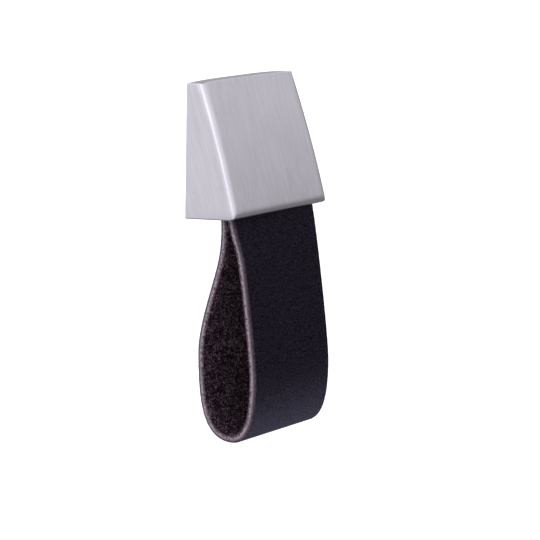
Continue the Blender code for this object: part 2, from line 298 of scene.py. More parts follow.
@dataclass(frozen=True)
class SatinMetal:
    """Satin nickel on a casting, brushed from the top edge to the bottom edge.

    Attributes:
        bright: the metal's lighter colour.
        dull: its darker colour, in the streaks.
        roughness: mean roughness.
        stroke: width of the finest brush strokes, in metres.
        stroke_length: their length, in widths.
        streak: width and length of the broader streaks, in widths of a stroke.
        depth: depth of the finest strokes, in metres.
        lean: how far the strokes lean back from upright, in radians.
        cloud_scale: soft clouds in each metre.
        pit_scale: places for a pit in each metre.
        pit_rim: where a pit's floor ends and where its rim ends, in parts of a place.
        pit_chance: levels of a noise between which pits appear.
        pit_patches: patches with and without pits in each metre.
        pit_strength: how strongly a pit shows, up to 1.
    """

    bright: Colour = (0.680, 0.652, 0.728)
    dull: Colour = (0.535, 0.513, 0.577)
    roughness: float = 0.34
    stroke: float = 0.30 * MM
    stroke_length: float = 26.0
    streak: tuple[float, float] = (3.0, 60.0)
    depth: float = 0.0030 * MM
    lean: float = 0.32
    cloud_scale: float = 110.0
    pit_scale: float = 520.0
    pit_rim: tuple[float, float] = (0.045, 0.085)
    pit_chance: tuple[float, float] = (0.60, 0.66)
    pit_patches: float = 190.0
    pit_strength: float = 0.7

    def material(self) -> bpy.types.Material:
        """Build the material.

        Returns:
            The material.
        """
        surface = Surface("satin_metal")
        fine = 1.0 / self.stroke
        width, length = self.streak
        stroke_scale = (fine, fine, fine / self.stroke_length)
        streak_scale = (fine / width, fine / width, fine / length)
        lines = surface.noise(surface.stretched(stroke_scale, self.lean), 1.0, 2.0, 0.6)
        streaks = surface.noise(surface.stretched(streak_scale, self.lean), 1.0, 2.0, 0.5)
        clouds = surface.noise(surface.place, self.cloud_scale, 2.0)
        pits = self.pits(surface)
        shade = (lines - 0.5) * 1.1 + (streaks - 0.5) * 0.6 + (clouds - 0.5) * 0.4 + 0.5 - pits * 1.3
        colour = surface.ramp(shade, [(0.1, self.dull), (0.9, self.bright)])
        pitted = surface.mix(pits, colour, toned(self.dull, 0.45))
        rough = (streaks - 0.5) * 0.12 + (lines - 0.5) * 0.08 + self.roughness
        height = lines * self.depth + streaks * (2.2 * self.depth) - pits * (6 * self.depth)
        return surface.finish(Base_Color=pitted, Metallic=1.0, Roughness=rough, Normal=surface.bump(height))

    def pits(self, surface: Surface) -> Value:
        """The casting's few tiny pits.

        Args:
            surface: the material's graph.

        Returns:
            The pits' strength in a pit, else 0.
        """
        near = surface.cells(surface.place, self.pit_scale).step(*self.pit_rim, 1.0, 0.0)
        chosen = surface.noise(surface.place, self.pit_patches, 1.0).step(*self.pit_chance)
        return near * chosen * self.pit_strength


@dataclass(frozen=True)
class CastMetal:
    """The casting's bare inside, as it left the mould.

    Attributes:
        colour: the metal's colour.
        roughness: mean roughness.
        flow_scale: marks of the metal's flow in each metre.
        flow_depth: their depth, in metres.
        skin_scale: grains of the cast skin in each metre.
        skin_depth: their depth, in metres.
    """

    colour: Colour = (0.44, 0.44, 0.46)
    roughness: float = 0.52
    flow_scale: float = 260.0
    flow_depth: float = 0.03 * MM
    skin_scale: float = 2600.0
    skin_depth: float = 0.012 * MM

    def material(self) -> bpy.types.Material:
        """Build the material.

        Returns:
            The material.
        """
        surface = Surface("cast_metal")
        flow = surface.noise(surface.place, self.flow_scale, 3.0)
        skin = surface.noise(surface.place, self.skin_scale, 3.0, 0.6)
        stops = [(0.3, toned(self.colour, 0.7)), (0.7, self.colour)]
        colour = surface.ramp(flow * 0.7 + skin * 0.3, stops)
        height = skin * self.skin_depth + flow * self.flow_depth
        rough = (flow - 0.5) * 0.2 + self.roughness
        return surface.finish(Base_Color=colour, Metallic=1.0, Roughness=rough, Normal=surface.bump(height))


@dataclass(frozen=True)
class PlatedSteel:
    """Zinc plated steel, with the faint mottle of the bath.

    Attributes:
        name: the material's name.
        colour: the plating's colour.
        roughness: mean roughness.
        mottle_scale: spangles of the zinc in each metre.
        mottle_depth: their height, in metres.
        cloud_scale: duller clouds in each metre.
        roll_scale: rolling marks in each metre, along the X, Y and Z axes.
        roll_depth: their depth, in metres.
    """

    name: str
    colour: Colour
    roughness: float
    mottle_scale: float = 900.0
    mottle_depth: float = 0.002 * MM
    cloud_scale: float = 240.0
    roll_scale: tuple[float, float, float] = (300.0, 9000.0, 9000.0)
    roll_depth: float = 0.0025 * MM

    def material(self) -> bpy.types.Material:
        """Build the material.

        Returns:
            The material.
        """
        surface = Surface(self.name)
        mottle = surface.cells(surface.place, self.mottle_scale)
        cloud = surface.noise(surface.place, self.cloud_scale, 3.0)
        rolled = surface.noise(surface.stretched(self.roll_scale), 1.0, 2.0)
        stops = [(0.2, toned(self.colour, 0.78)), (0.7, self.colour)]
        colour = surface.ramp(mottle * 0.5 + cloud * 0.5, stops)
        rough = (cloud - 0.5) * 0.2 + (rolled - 0.5) * 0.1 + self.roughness
        height = rolled * self.roll_depth + mottle * self.mottle_depth
        return surface.finish(Base_Color=colour, Metallic=1.0, Roughness=rough, Normal=surface.bump(height))


@dataclass(frozen=True)
class StrapLeather:
    """Black drum dyed leather: finished grain side, bare cut edge and suede flesh side.

    The mesh says which side a point is on by its float attributes "cut" and "flesh", and how far
    through the leather it lies by "through", from 0 on the flesh side to 1 on the grain side.
    Scales are in cycles for each metre and depths are in metres.

    Attributes:
        grain: colour of the grain side, in its hollows, where it is darkened as painted shade.
        grain_top_sheen: its colour on the tops of the pebbles, paler there as a painted sheen.
        stretched: its colour where the fold stretches it, under the loop, also paler there as a painted sheen
            of the grain's grazing reflection.
        fold: heights between which the stretched colour fades out.
        grain_roughness: its roughness.
        pebble: spacing of the grain's pebbles, in metres.
        pebble_depth: their depth.
        wrinkle_depth: depth of the wrinkles between them.
        pore_depth: depth of the pores.
        core: colour of the bare cut edge.
        rim: colour of the dyed layer under the grain, seen on the cut edge.
        brown: colour of the cut edge at the flesh side.
        nap: colour of the flesh side.
        light_nap: its colour where the nap catches the light.
        fibre_scale: fibres of the bare sides.
        fibre_depth: their depth.
        clump_scale: clumps of fibres.
        clump_depth: their depth.
        patch_scale: patches of the nap.
        bare_roughness: roughness of the bare sides.
        specular: how much of a shine the leather has.
    """

    grain: Colour = (0.0008, 0.0004, 0.0032)
    grain_top_sheen: Colour = (0.0170, 0.0118, 0.0235)
    stretched: Colour = (0.048, 0.044, 0.072)
    fold: tuple[float, float] = (-83.0 * MM, -54.0 * MM)
    grain_roughness: float = 0.46
    pebble: float = 0.42 * MM
    pebble_depth: float = 0.030 * MM
    wrinkle_depth: float = 0.060 * MM
    pore_depth: float = 0.060 * MM
    core: Colour = (0.34, 0.295, 0.36)
    rim: Colour = (0.085, 0.068, 0.092)
    brown: Colour = (0.045, 0.030, 0.038)
    nap: Colour = (0.0046, 0.0016, 0.0038)
    light_nap: Colour = (0.17, 0.125, 0.155)
    fibre_scale: float = 4200.0
    fibre_depth: float = 0.09 * MM
    clump_scale: float = 1700.0
    clump_depth: float = 0.16 * MM
    patch_scale: float = 320.0
    bare_roughness: float = 0.94
    specular: float = 0.05

    def material(self) -> bpy.types.Material:
        """Build the material.

        Returns:
            The material.
        """
        surface = Surface("strap_leather")
        cut = surface.attribute("cut")
        flesh = surface.attribute("flesh")
        cells = surface.cells(surface.place, 1.0 / self.pebble, feature="SMOOTH_F1")
        wrinkle = surface.noise(surface.place, 0.5 / self.pebble, 4.0, 0.6)
        pores = surface.noise(surface.place, 1.3 / self.pebble, 1.0, 0.6)
        fibre = surface.noise(surface.place, self.fibre_scale, 4.0, 0.7)
        clump = surface.noise(surface.place, self.clump_scale, 3.0, 0.6)
        finished = surface.mix(cut, self.grain_colour(surface, pores),
                               self.edge_colour(surface, fibre, clump))
        colour = surface.mix(flesh, finished, self.flesh_colour(surface, fibre, clump))

        pebbles = (cells * -1.0 + 1.0) * self.pebble_depth + wrinkle * self.wrinkle_depth
        bare = cut.math("MAXIMUM", flesh)
        ragged = fibre * self.fibre_depth + clump * self.clump_depth
        height = (pebbles + pores * self.pore_depth) * (1.0 - bare) + ragged * bare
        skin = (wrinkle - 0.5) * 0.16 + self.grain_roughness
        rough = skin * (1.0 - bare) + bare * self.bare_roughness
        surface.feed(surface.shader.inputs["Specular IOR Level"], self.specular)
        return surface.finish(Base_Color=colour, Roughness=rough, Normal=surface.bump(height))

    def grain_colour(self, surface: Surface, pores: Value) -> bpy.types.NodeSocket:
        """Colour of the grain side: its black, darker in the hollows as painted shade and paler on the tops
        as painted sheen, and palest under the loop, where the fold stretches it and a painted sheen stands
        for its grazing reflection.

        Args:
            surface: the material's graph.
            pores: the pores' noise.

        Returns:
            The colour socket.
        """
        # Speckle of the grain: dark as painted shade in the hollows, pale as painted sheen on the raised
        # tops.
        fine = surface.noise(surface.place, 2.1 / self.pebble, 1.0)
        shade_and_sheen_speckle = pores * 0.7 + fine * 0.3
        level = surface.value("ShaderNodeSeparateXYZ", {0: surface.place}, 2)
        # Palest low on the loop: the stretched grain, with a painted sheen for its grazing reflection there.
        stretch_and_sheen = level.step(*self.fold, 1.0, 0.0) ** 2 * shade_and_sheen_speckle.step(0.36, 0.62, 0.4, 1.5)
        return surface.mix(stretch_and_sheen, surface.ramp(shade_and_sheen_speckle, [(0.46, self.grain), (0.57, self.grain_top_sheen)]),
                           self.stretched)

    def edge_colour(self, surface: Surface, fibre: Value, clump: Value) -> bpy.types.NodeSocket:
        """Colour of the cut edge: pale core, dyed line at the grain side, brown at the flesh side.

        Args:
            surface: the material's graph.
            fibre: the fibres' noise.
            clump: the clumps' noise.

        Returns:
            The colour socket.
        """
        ragged = surface.attribute("through") + (clump - 0.5) * 0.75 + (fibre - 0.5) * 0.45
        layers = surface.ramp(ragged, [
            (0.02, self.brown), (0.14, toned(self.brown, 1.9)), (0.28, toned(self.brown, 3.6)),
            (0.40, self.core), (0.54, self.core),
            (0.68, toned(self.rim, 1.4)), (0.82, self.rim), (0.97, toned(self.rim, 0.35))])
        streak = (fibre * 0.3 + clump * 0.7).step(0.38, 0.58)
        return surface.mix(streak * 0.6 + 0.4, self.brown, layers)

    def flesh_colour(self, surface: Surface, fibre: Value, clump: Value) -> bpy.types.NodeSocket:
        """Colour of the flesh side: dark between the fibres, light on the standing nap.

        Args:
            surface: the material's graph.
            fibre: the fibres' noise.
            clump: the clumps' noise.

        Returns:
            The colour socket.
        """
        patch = surface.noise(surface.place, self.patch_scale, 2.0)
        stops = [(0.43, self.nap), (0.51, toned(self.nap, 4.0)), (0.60, self.light_nap)]
        return surface.ramp(fibre * 0.4 + clump * 0.5 + patch * 0.1, stops)


@dataclass(frozen=True)
class LooseFibre:
    """Loose leather fibres, each with its own tone in the attribute "tone".

    Attributes:
        name: the material's name.
        dark: colour of the darkest fibres.
        light: colour of the lightest.
        contrast: power that keeps most of the fibres dark.
        roughness: their roughness.
        specular: how much of a shine they have.
    """

    name: str
    dark: Colour
    light: Colour
    contrast: float = 2.2
    roughness: float = 0.85
    specular: float = 0.2

    def material(self) -> bpy.types.Material:
        """Build the material.

        Returns:
            The material.
        """
        surface = Surface(self.name)
        tone = surface.attribute("tone")
        colour = surface.ramp(tone ** self.contrast, [(0.0, self.dark), (1.0, self.light)])
        surface.feed(surface.shader.inputs["Specular IOR Level"], self.specular)
        return surface.finish(Base_Color=colour, Roughness=self.roughness)


# Geometry Nodes

class GeometryGraph(Graph):
    """A Geometry Nodes tree with named inputs that ends in realized, painted geometry."""

    def __init__(self, name: str) -> None:
        """Make an empty tree with a geometry input and output and a material input.

        Args:
            name: the tree's name.
        """
        super().__init__(bpy.data.node_groups.new(name, "GeometryNodeTree"))
        self.socket("Geometry", "Geometry")
        self.tree.interface.new_socket("Geometry", in_out="OUTPUT", socket_type="NodeSocketGeometry")
        self.socket("Material", "Material")
        self.entry: Union[bpy.types.Node, None] = None

    def socket(self, name: str, kind: str) -> None:
        """Add a named input."""
        self.tree.interface.new_socket(name, in_out="INPUT", socket_type=f"NodeSocket{kind}")

    def given(self, name: str) -> Value:
        """The value of a named input."""
        if self.entry is None:
            self.entry = self.node("NodeGroupInput", {})
        return Value(self, self.entry.outputs[name])

    def vector(self, *parts: Operand) -> bpy.types.NodeSocket:
        """A vector from three numbers."""
        return self.node("ShaderNodeCombineXYZ", dict(enumerate(parts))).outputs[0]

    def close(self, geometry: bpy.types.NodeSocket) -> None:
        """End the tree: realize the instances, set the material and hand the geometry out.

        Args:
            geometry: the socket of the finished geometry.
        """
        real = self.node("GeometryNodeRealizeInstances", {0: geometry})
        painted = self.node("GeometryNodeSetMaterial", {"Geometry": real.outputs[0],
                                                        "Material": self.given("Material")})
        self.node("NodeGroupOutput", {0: painted.outputs[0]})

    def run(self, base: bpy.types.Object, name: str, **values: Any) -> bpy.types.Object:
        """Run the tree on an object and keep the result as a plain mesh.

        Args:
            base: the object whose geometry goes in. It is left as it is.
            name: the new object's name.
            values: the inputs, named with underscores for spaces.

        Returns:
            A new object at the origin.
        """
        carrier = new_object(name + "_carrier", base.data)
        step = carrier.modifiers.new("nodes", "NODES")
        step.node_group = self.tree
        wanted = {key.replace("_", " "): value for key, value in values.items()}
        for item in self.tree.interface.items_tree:
            if item.item_type == "SOCKET" and item.in_out == "INPUT" and item.name in wanted:
                step[item.identifier] = wanted[item.name]
        made = frozen(carrier, name)
        remove(carrier)
        return made


class FibreScatter(GeometryGraph):
    """Short bent fibres that stand on the part of a surface where a float attribute is over a half.

    Attributes:
        SHORTEST: the shortest fibre's share of the full length.
        BEND: how high a fibre bends and how far its tip hangs over, as shares of its length.
        TAPER: how much thinner the tip is than the root.
    """

    SHORTEST: float = 0.35
    BEND: tuple[float, float] = (0.6, 0.35)
    TAPER: float = 0.75

    def __init__(self) -> None:
        """Build the tree."""
        super().__init__("fibre_scatter")
        for name in ("Density", "Length", "Radius", "Lean Low", "Lean High"):
            self.socket(name, "Float")
        self.socket("Seed", "Int")
        self.socket("Where", "String")
        where = self.node("GeometryNodeInputNamedAttribute", {0: self.given("Where")}, data_type="FLOAT")
        picked = Value(self, where.outputs[0]).math("GREATER_THAN", 0.5)
        scattered = self.node("GeometryNodeDistributePointsOnFaces", {
            "Mesh": self.given("Geometry"), "Selection": picked, "Density": self.given("Density"),
            "Seed": self.given("Seed")})
        lean = self.node("FunctionNodeRandomValue", {
            0: self.vector(self.given("Lean Low"), 0.0, 0.0),
            1: self.vector(self.given("Lean High"), 0.0, math.tau), "Seed": self.given("Seed") + 1.0},
            data_type="FLOAT_VECTOR")
        turn = self.node("FunctionNodeEulerToRotation", {0: lean.outputs[0]})
        rotation = self.node("FunctionNodeRotateRotation", {0: scattered.outputs["Rotation"],
                                                            1: turn.outputs[0]}, rotation_space="LOCAL")
        placed = self.node("GeometryNodeInstanceOnPoints", {
            "Points": scattered.outputs["Points"], "Instance": self.fibre(), "Rotation": rotation.outputs[0],
            "Scale": self.random(self.SHORTEST, 1.0, 2.0).socket})
        toned_fibres = self.node("GeometryNodeStoreNamedAttribute", {
            "Geometry": placed.outputs[0], "Name": "tone", "Value": self.random(0.0, 1.0, 3.0)},
            data_type="FLOAT", domain="INSTANCE")
        self.close(toned_fibres.outputs[0])

    def random(self, low: float, high: float, step: float) -> Value:
        """A random number for each point, from the tree's seed and a step."""
        made = self.node("FunctionNodeRandomValue", {2: low, 3: high, "Seed": self.given("Seed") + step})
        return Value(self, made.outputs[1])

    def fibre(self) -> bpy.types.NodeSocket:
        """One fibre: a tapered three-sided hair that bends over, along +Z.

        Returns:
            The socket of its mesh.
        """
        length = self.given("Length")
        high, over = self.BEND
        path = self.node("GeometryNodeCurveQuadraticBezier", {
            "Resolution": 2, "Start": (0.0, 0.0, 0.0), "Middle": self.vector(0.0, 0.0, length * high),
            "End": self.vector(length * over, 0.0, length)})
        along = Value(self, self.node("GeometryNodeSplineParameter", {}).outputs["Factor"])
        thin = self.node("GeometryNodeSetCurveRadius", {"Curve": path.outputs[0],
                                                        "Radius": along * -self.TAPER + 1.0})
        ring = self.node("GeometryNodeCurvePrimitiveCircle", {"Resolution": 3,
                                                              "Radius": self.given("Radius")})
        tube = self.node("GeometryNodeCurveToMesh", {"Curve": thin.outputs[0],
                                                     "Profile Curve": ring.outputs[0], "Fill Caps": True})
        return tube.outputs[0]


class ThreadTree(GeometryGraph):
    """A closed threaded rod along -Z from the origin, with a flat top and a flat end.

    Attributes:
        FLANK: where on a turn the thread's flank starts to rise and where its crest begins.
        RUNOUT: length over which the thread fades out at the end.
        WELD: distance within which the rod's points are joined.
    """

    FLANK: tuple[float, float] = (0.12, 0.82)
    RUNOUT: float = 0.6 * MM
    WELD: float = 0.0005 * MM

    def __init__(self, around: int = 36, rows_each_turn: int = 10) -> None:
        """Build the tree.

        Args:
            around: facets around the rod.
            rows_each_turn: rows of the surface along one turn of the thread.
        """
        super().__init__("screw_thread")
        for name in ("Core Radius", "Crest Radius", "Pitch", "Length"):
            self.socket(name, "Float")
        pitch = self.given("Pitch")
        length = self.given("Length")
        rows = (length / pitch * rows_each_turn).math("CEIL") + 3.0
        grid = self.node("GeometryNodeMeshGrid", {"Size X": 1.0, "Size Y": 1.0, "Vertices X": around + 1,
                                                  "Vertices Y": rows})
        index = Value(self, self.node("GeometryNodeInputIndex", {}).outputs[0])
        column = (index / rows).math("FLOOR")
        row = index - column * rows
        share = ((row - 1.0) / (rows - 3.0)).math("MAXIMUM", 0.0).math("MINIMUM", 1.0)
        angle = column * (math.tau / around)
        drop = share * length
        wave = (drop / pitch + column / float(around)).math("FRACT")
        ridge = ((wave * 2.0 - 1.0).math("ABSOLUTE") * -1.0 + 1.0).step(*self.FLANK)
        runout = (length - drop).step(0.0, self.RUNOUT)
        core = self.given("Core Radius")
        radius = core + (self.given("Crest Radius") - core) * ridge * runout
        inside = row.math("GREATER_THAN", 0.5) * (rows - 1.5).math("GREATER_THAN", row)
        radius = radius * inside
        where = self.vector(radius * angle.math("COSINE"), radius * angle.math("SINE"), drop * -1.0)
        bent = self.node("GeometryNodeSetPosition", {"Geometry": grid.outputs[0], "Position": where})
        welded = self.node("GeometryNodeMergeByDistance", {"Geometry": bent.outputs[0],
                                                           "Distance": self.WELD})
        self.close(welded.outputs[0])

    def thread(self, name: str, core: float, crest: float, pitch: float,
               length: float) -> bpy.types.Object:
        """Make one threaded rod.

        Args:
            name: the object's name.
            core: radius between the crests.
            crest: radius of the crests.
            pitch: rise of one turn.
            length: the rod's length.

        Returns:
            The object.
        """
        blank = new_object(f"{name}_blank", bpy.data.meshes.new(f"{name}_blank"))
        made = self.run(blank, name, Core_Radius=core, Crest_Radius=crest, Pitch=pitch, Length=length)
        remove(blank)
        return made


class PairTree(GeometryGraph):
    """Copies a piece to both ends of a line along X and turns each one about its own Z axis.

    Attributes:
        FIRST_TURN: the first piece's turn, as a share of the turn between the two.
    """

    FIRST_TURN: float = 0.35

    def __init__(self) -> None:
        """Build the tree."""
        super().__init__("pair_of_pieces")
        self.socket("Spacing", "Float")
        self.socket("Turn", "Float")
        spacing = self.given("Spacing")
        ends = self.node("GeometryNodeMeshLine", {
            "Count": 2, "Start Location": self.vector(spacing * 0.5 * -1.0, 0.0, 0.0),
            "Offset": self.vector(spacing, 0.0, 0.0)})
        index = Value(self, self.node("GeometryNodeInputIndex", {}).outputs[0])
        euler = self.vector(0.0, 0.0, (index + self.FIRST_TURN) * self.given("Turn"))
        turn = self.node("FunctionNodeEulerToRotation", {0: euler})
        placed = self.node("GeometryNodeInstanceOnPoints", {
            "Points": ends.outputs[0], "Instance": self.given("Geometry"), "Rotation": turn.outputs[0]})
        self.close(placed.outputs[0])


# Objects and meshes

def new_object(name: str, data: Any, matrix: Matrix = Matrix.Identity(4)) -> bpy.types.Object:
    """Link a new object.

    Args:
        name: its name.
        data: its mesh, light or camera.
        matrix: where it stands.

    Returns:
        The object.
    """
    made = bpy.data.objects.new(name, data)
    bpy.context.scene.collection.objects.link(made)
    made.matrix_world = matrix
    return made


def remove(item: bpy.types.Object) -> None:
    """Take a helper object out of the file."""
    bpy.data.objects.remove(item, do_unlink=True)


def frozen(item: bpy.types.Object, name: str) -> bpy.types.Object:
    """Copy an object as its modifiers leave it.

    Args:
        item: the object, which stays.
        name: the copy's name.

    Returns:
        A plain mesh at the origin, unturned and unscaled.
    """
    bpy.context.view_layer.update()
    graph = bpy.context.evaluated_depsgraph_get()
    mesh = bpy.data.meshes.new_from_object(item.evaluated_get(graph), depsgraph=graph)
    mesh.name = name
    mesh.transform(item.matrix_world)
    return new_object(name, mesh)


def solid(bm: bmesh.types.BMesh, name: str, matrix: Matrix = Matrix.Identity(4)) -> bpy.types.Object:
    """Make an object from a closed bmesh, with its faces turned outwards.

    Args:
        bm: the bmesh, which is freed.
        name: the object's name.
        matrix: where it stands.

    Returns:
        The object.
    """
    bmesh.ops.recalc_face_normals(bm, faces=bm.faces[:])
    mesh = bpy.data.meshes.new(name)
    bm.to_mesh(mesh)
    bm.free()
    return new_object(name, mesh, matrix)


def tidy_mesh(item: bpy.types.Object, sharp: float) -> None:
    """Turn a closed mesh's faces outwards and shade it smooth.

    Args:
        item: the object.
        sharp: angle in degrees from which an edge stays sharp.
    """
    bm = bmesh.new()
    bm.from_mesh(item.data)
    bmesh.ops.recalc_face_normals(bm, faces=bm.faces[:])
    bm.to_mesh(item.data)
    bm.free()
    item.data.shade_smooth()
    item.data.set_sharp_from_angle(angle=math.radians(sharp))


def cut(item: bpy.types.Object, cutters: Iterable[bpy.types.Object], keep_paint: bool = False) -> None:
    """Add a cut by each cutter.

    Args:
        item: what is cut.
        cutters: closed objects.
        keep_paint: whether the cut faces keep the cutters' materials.
    """
    for cutter in cutters:
        step = item.modifiers.new(cutter.name, "BOOLEAN")
        step.operation = "DIFFERENCE"
        step.solver = "EXACT"
        step.material_mode = "TRANSFER" if keep_paint else "INDEX"
        step.object = cutter


def rod(name: str, radius: float, length: float, matrix: Matrix, tip: float = 0.0,
        mouth: float = 0.0, facets: int = 48) -> bpy.types.Object:
    """A cylinder along -Z from a matrix's origin.

    Args:
        name: the object's name.
        radius: its radius.
        length: its length without the tip.
        matrix: where it stands.
        tip: height of a drill's point at its end.
        mouth: radius of its top, if it differs.
        facets: facets around it.

    Returns:
        The object.
    """
    bm = bmesh.new()
    bmesh.ops.create_cone(bm, cap_ends=True, segments=facets, radius1=radius, radius2=mouth or radius,
                          depth=length, matrix=Matrix.Translation((0, 0, -length / 2)))
    if tip:
        floor = [face for face in bm.faces if face.normal.z < -0.9]
        for vertex in bmesh.ops.poke(bm, faces=floor)["verts"]:
            vertex.co.z -= tip
    return solid(bm, name, matrix)


def block(name: str, size: Sequence[float], matrix: Matrix) -> bpy.types.Object:
    """A box centred on a matrix's origin."""
    bm = bmesh.new()
    bmesh.ops.create_cube(bm, size=1.0, matrix=Matrix.Diagonal((*size, 1.0)))
    return solid(bm, name, matrix)


def settle(item: bpy.types.Object, slot: str, *nodes: str) -> None:
    """Hand a finished piece to the frame.

    Args:
        item: the piece.
        slot: the record's material slot; not used.
        nodes: the solids that it stands for.
    """
    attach(item, BODY)
    if nodes:
        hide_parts(*nodes)
    LOG.info("%s: %d faces", item.name, len(item.data.polygons))


# Sub-assemblies

@dataclass
class ClampSeat:
    """The sloping seat inside the cap on which the strap's ends are clamped.

    Attributes:
        mouth: the seat's front line, where it meets the bottom of the cap.
        angle: the seat's slope from upright.
        leather: thickness of the leather.
        flesh_gap: between the strap's two legs.
        clearance: between pieces that touch.
        height: the clamp bosses' height above the mouth, along the strap.
        spacing: between the bosses.
        plate: thickness of the clamp plate.
    """

    mouth: Vector
    angle: float
    leather: float = 2.0 * MM
    flesh_gap: float = 0.25 * MM
    clearance: float = 0.3 * MM
    height: float = 9.5 * MM
    spacing: float = 17.0 * MM
    plate: float = 1.5 * MM

    @property
    def along(self) -> Vector:
        """The way up along the strap's legs."""
        return Vector((0, math.sin(self.angle), math.cos(self.angle)))

    @property
    def out(self) -> Vector:
        """The way out from the front wall."""
        return Vector((0, math.cos(self.angle), -math.sin(self.angle)))

    @property
    def front_leg(self) -> float:
        """How far out the middle of the front leg lies."""
        return self.clearance + self.leather / 2

    @property
    def back_leg(self) -> float:
        """How far out the middle of the back leg lies."""
        return self.front_leg + self.leather + self.flesh_gap

    @property
    def stack(self) -> float:
        """How far out the back leg's grain side lies."""
        return self.back_leg + self.leather / 2

    @property
    def plate_face(self) -> float:
        """How far out the plate's near face lies."""
        return self.stack + self.clearance

    @property
    def head_seat(self) -> float:
        """How far out the screws' heads sit."""
        return self.plate_face + self.plate + self.clearance

    def point(self, across: float, along: float, out: float) -> Vector:
        """A point across the strap, up along its legs and out from the front wall."""
        return self.mouth + Vector((across, 0, 0)) + self.along * along + self.out * out

    def matrix(self, across: float, along: float, out: float) -> Matrix:
        """A place on the seat whose Z axis points out from the front wall."""
        turn = Matrix.Rotation(-(math.pi / 2 + self.angle), 4, "X")
        return Matrix.Translation(self.point(across, along, out)) @ turn

    def boss(self, side: int, out: float) -> Matrix:
        """A place on the axis of the left boss, side -1, or of the right one, side 1."""
        return self.matrix(side * self.spacing / 2, self.height, out)


@dataclass(frozen=True)
class FixingHole:
    """The tools that make one blind M4 hole, each along -Z from a little outside the face.

    Attributes:
        drill: radius and length of the drill.
        tip: height of its point.
        sink: radii of the countersink, at its floor and at its start.
        sink_length: the countersink's length.
        outside: how far outside the face the drill and the countersink start.
        tap: radii of the tap, between its crests and over them.
        pitch: the thread's pitch.
        tap_length: the tap's length.
        tap_outside: how far outside the face the tap starts.
        sharp_angle: angle in degrees from which the thread's edges stay sharp.
    """

    drill: tuple[float, float] = (1.65 * MM, 5.7 * MM)
    tip: float = 0.5 * MM
    sink: tuple[float, float] = (1.7 * MM, 2.6 * MM)
    sink_length: float = 0.9 * MM
    outside: float = 0.5 * MM
    tap: tuple[float, float] = (1.60 * MM, 2.0 * MM)
    pitch: float = 0.7 * MM
    tap_length: float = 5.3 * MM
    tap_outside: float = 0.4 * MM
    sharp_angle: float = 60.0

    def tools(self, tree: ThreadTree, side: int, place: Matrix) -> list[bpy.types.Object]:
        """Make the drill, the countersink and the tap.

        Args:
            tree: makes the tap.
            side: -1 for the left hole and 1 for the right one, for the names.
            place: the middle of the hole's mouth, with Z out of the face.

        Returns:
            The three objects.
        """
        start = place @ Matrix.Translation((0, 0, self.outside))
        drill = rod(f"drill_{side}", *self.drill, start, tip=self.tip)
        floor, mouth = self.sink
        sink = rod(f"countersink_{side}", floor, self.sink_length, start, mouth=mouth)
        tap = tree.thread(f"tap_{side}", *self.tap, self.pitch, self.tap_length)
        tap.matrix_world = place @ Matrix.Translation((0, 0, self.tap_outside))
        tidy_mesh(tap, self.sharp_angle)
        return [drill, sink, tap]


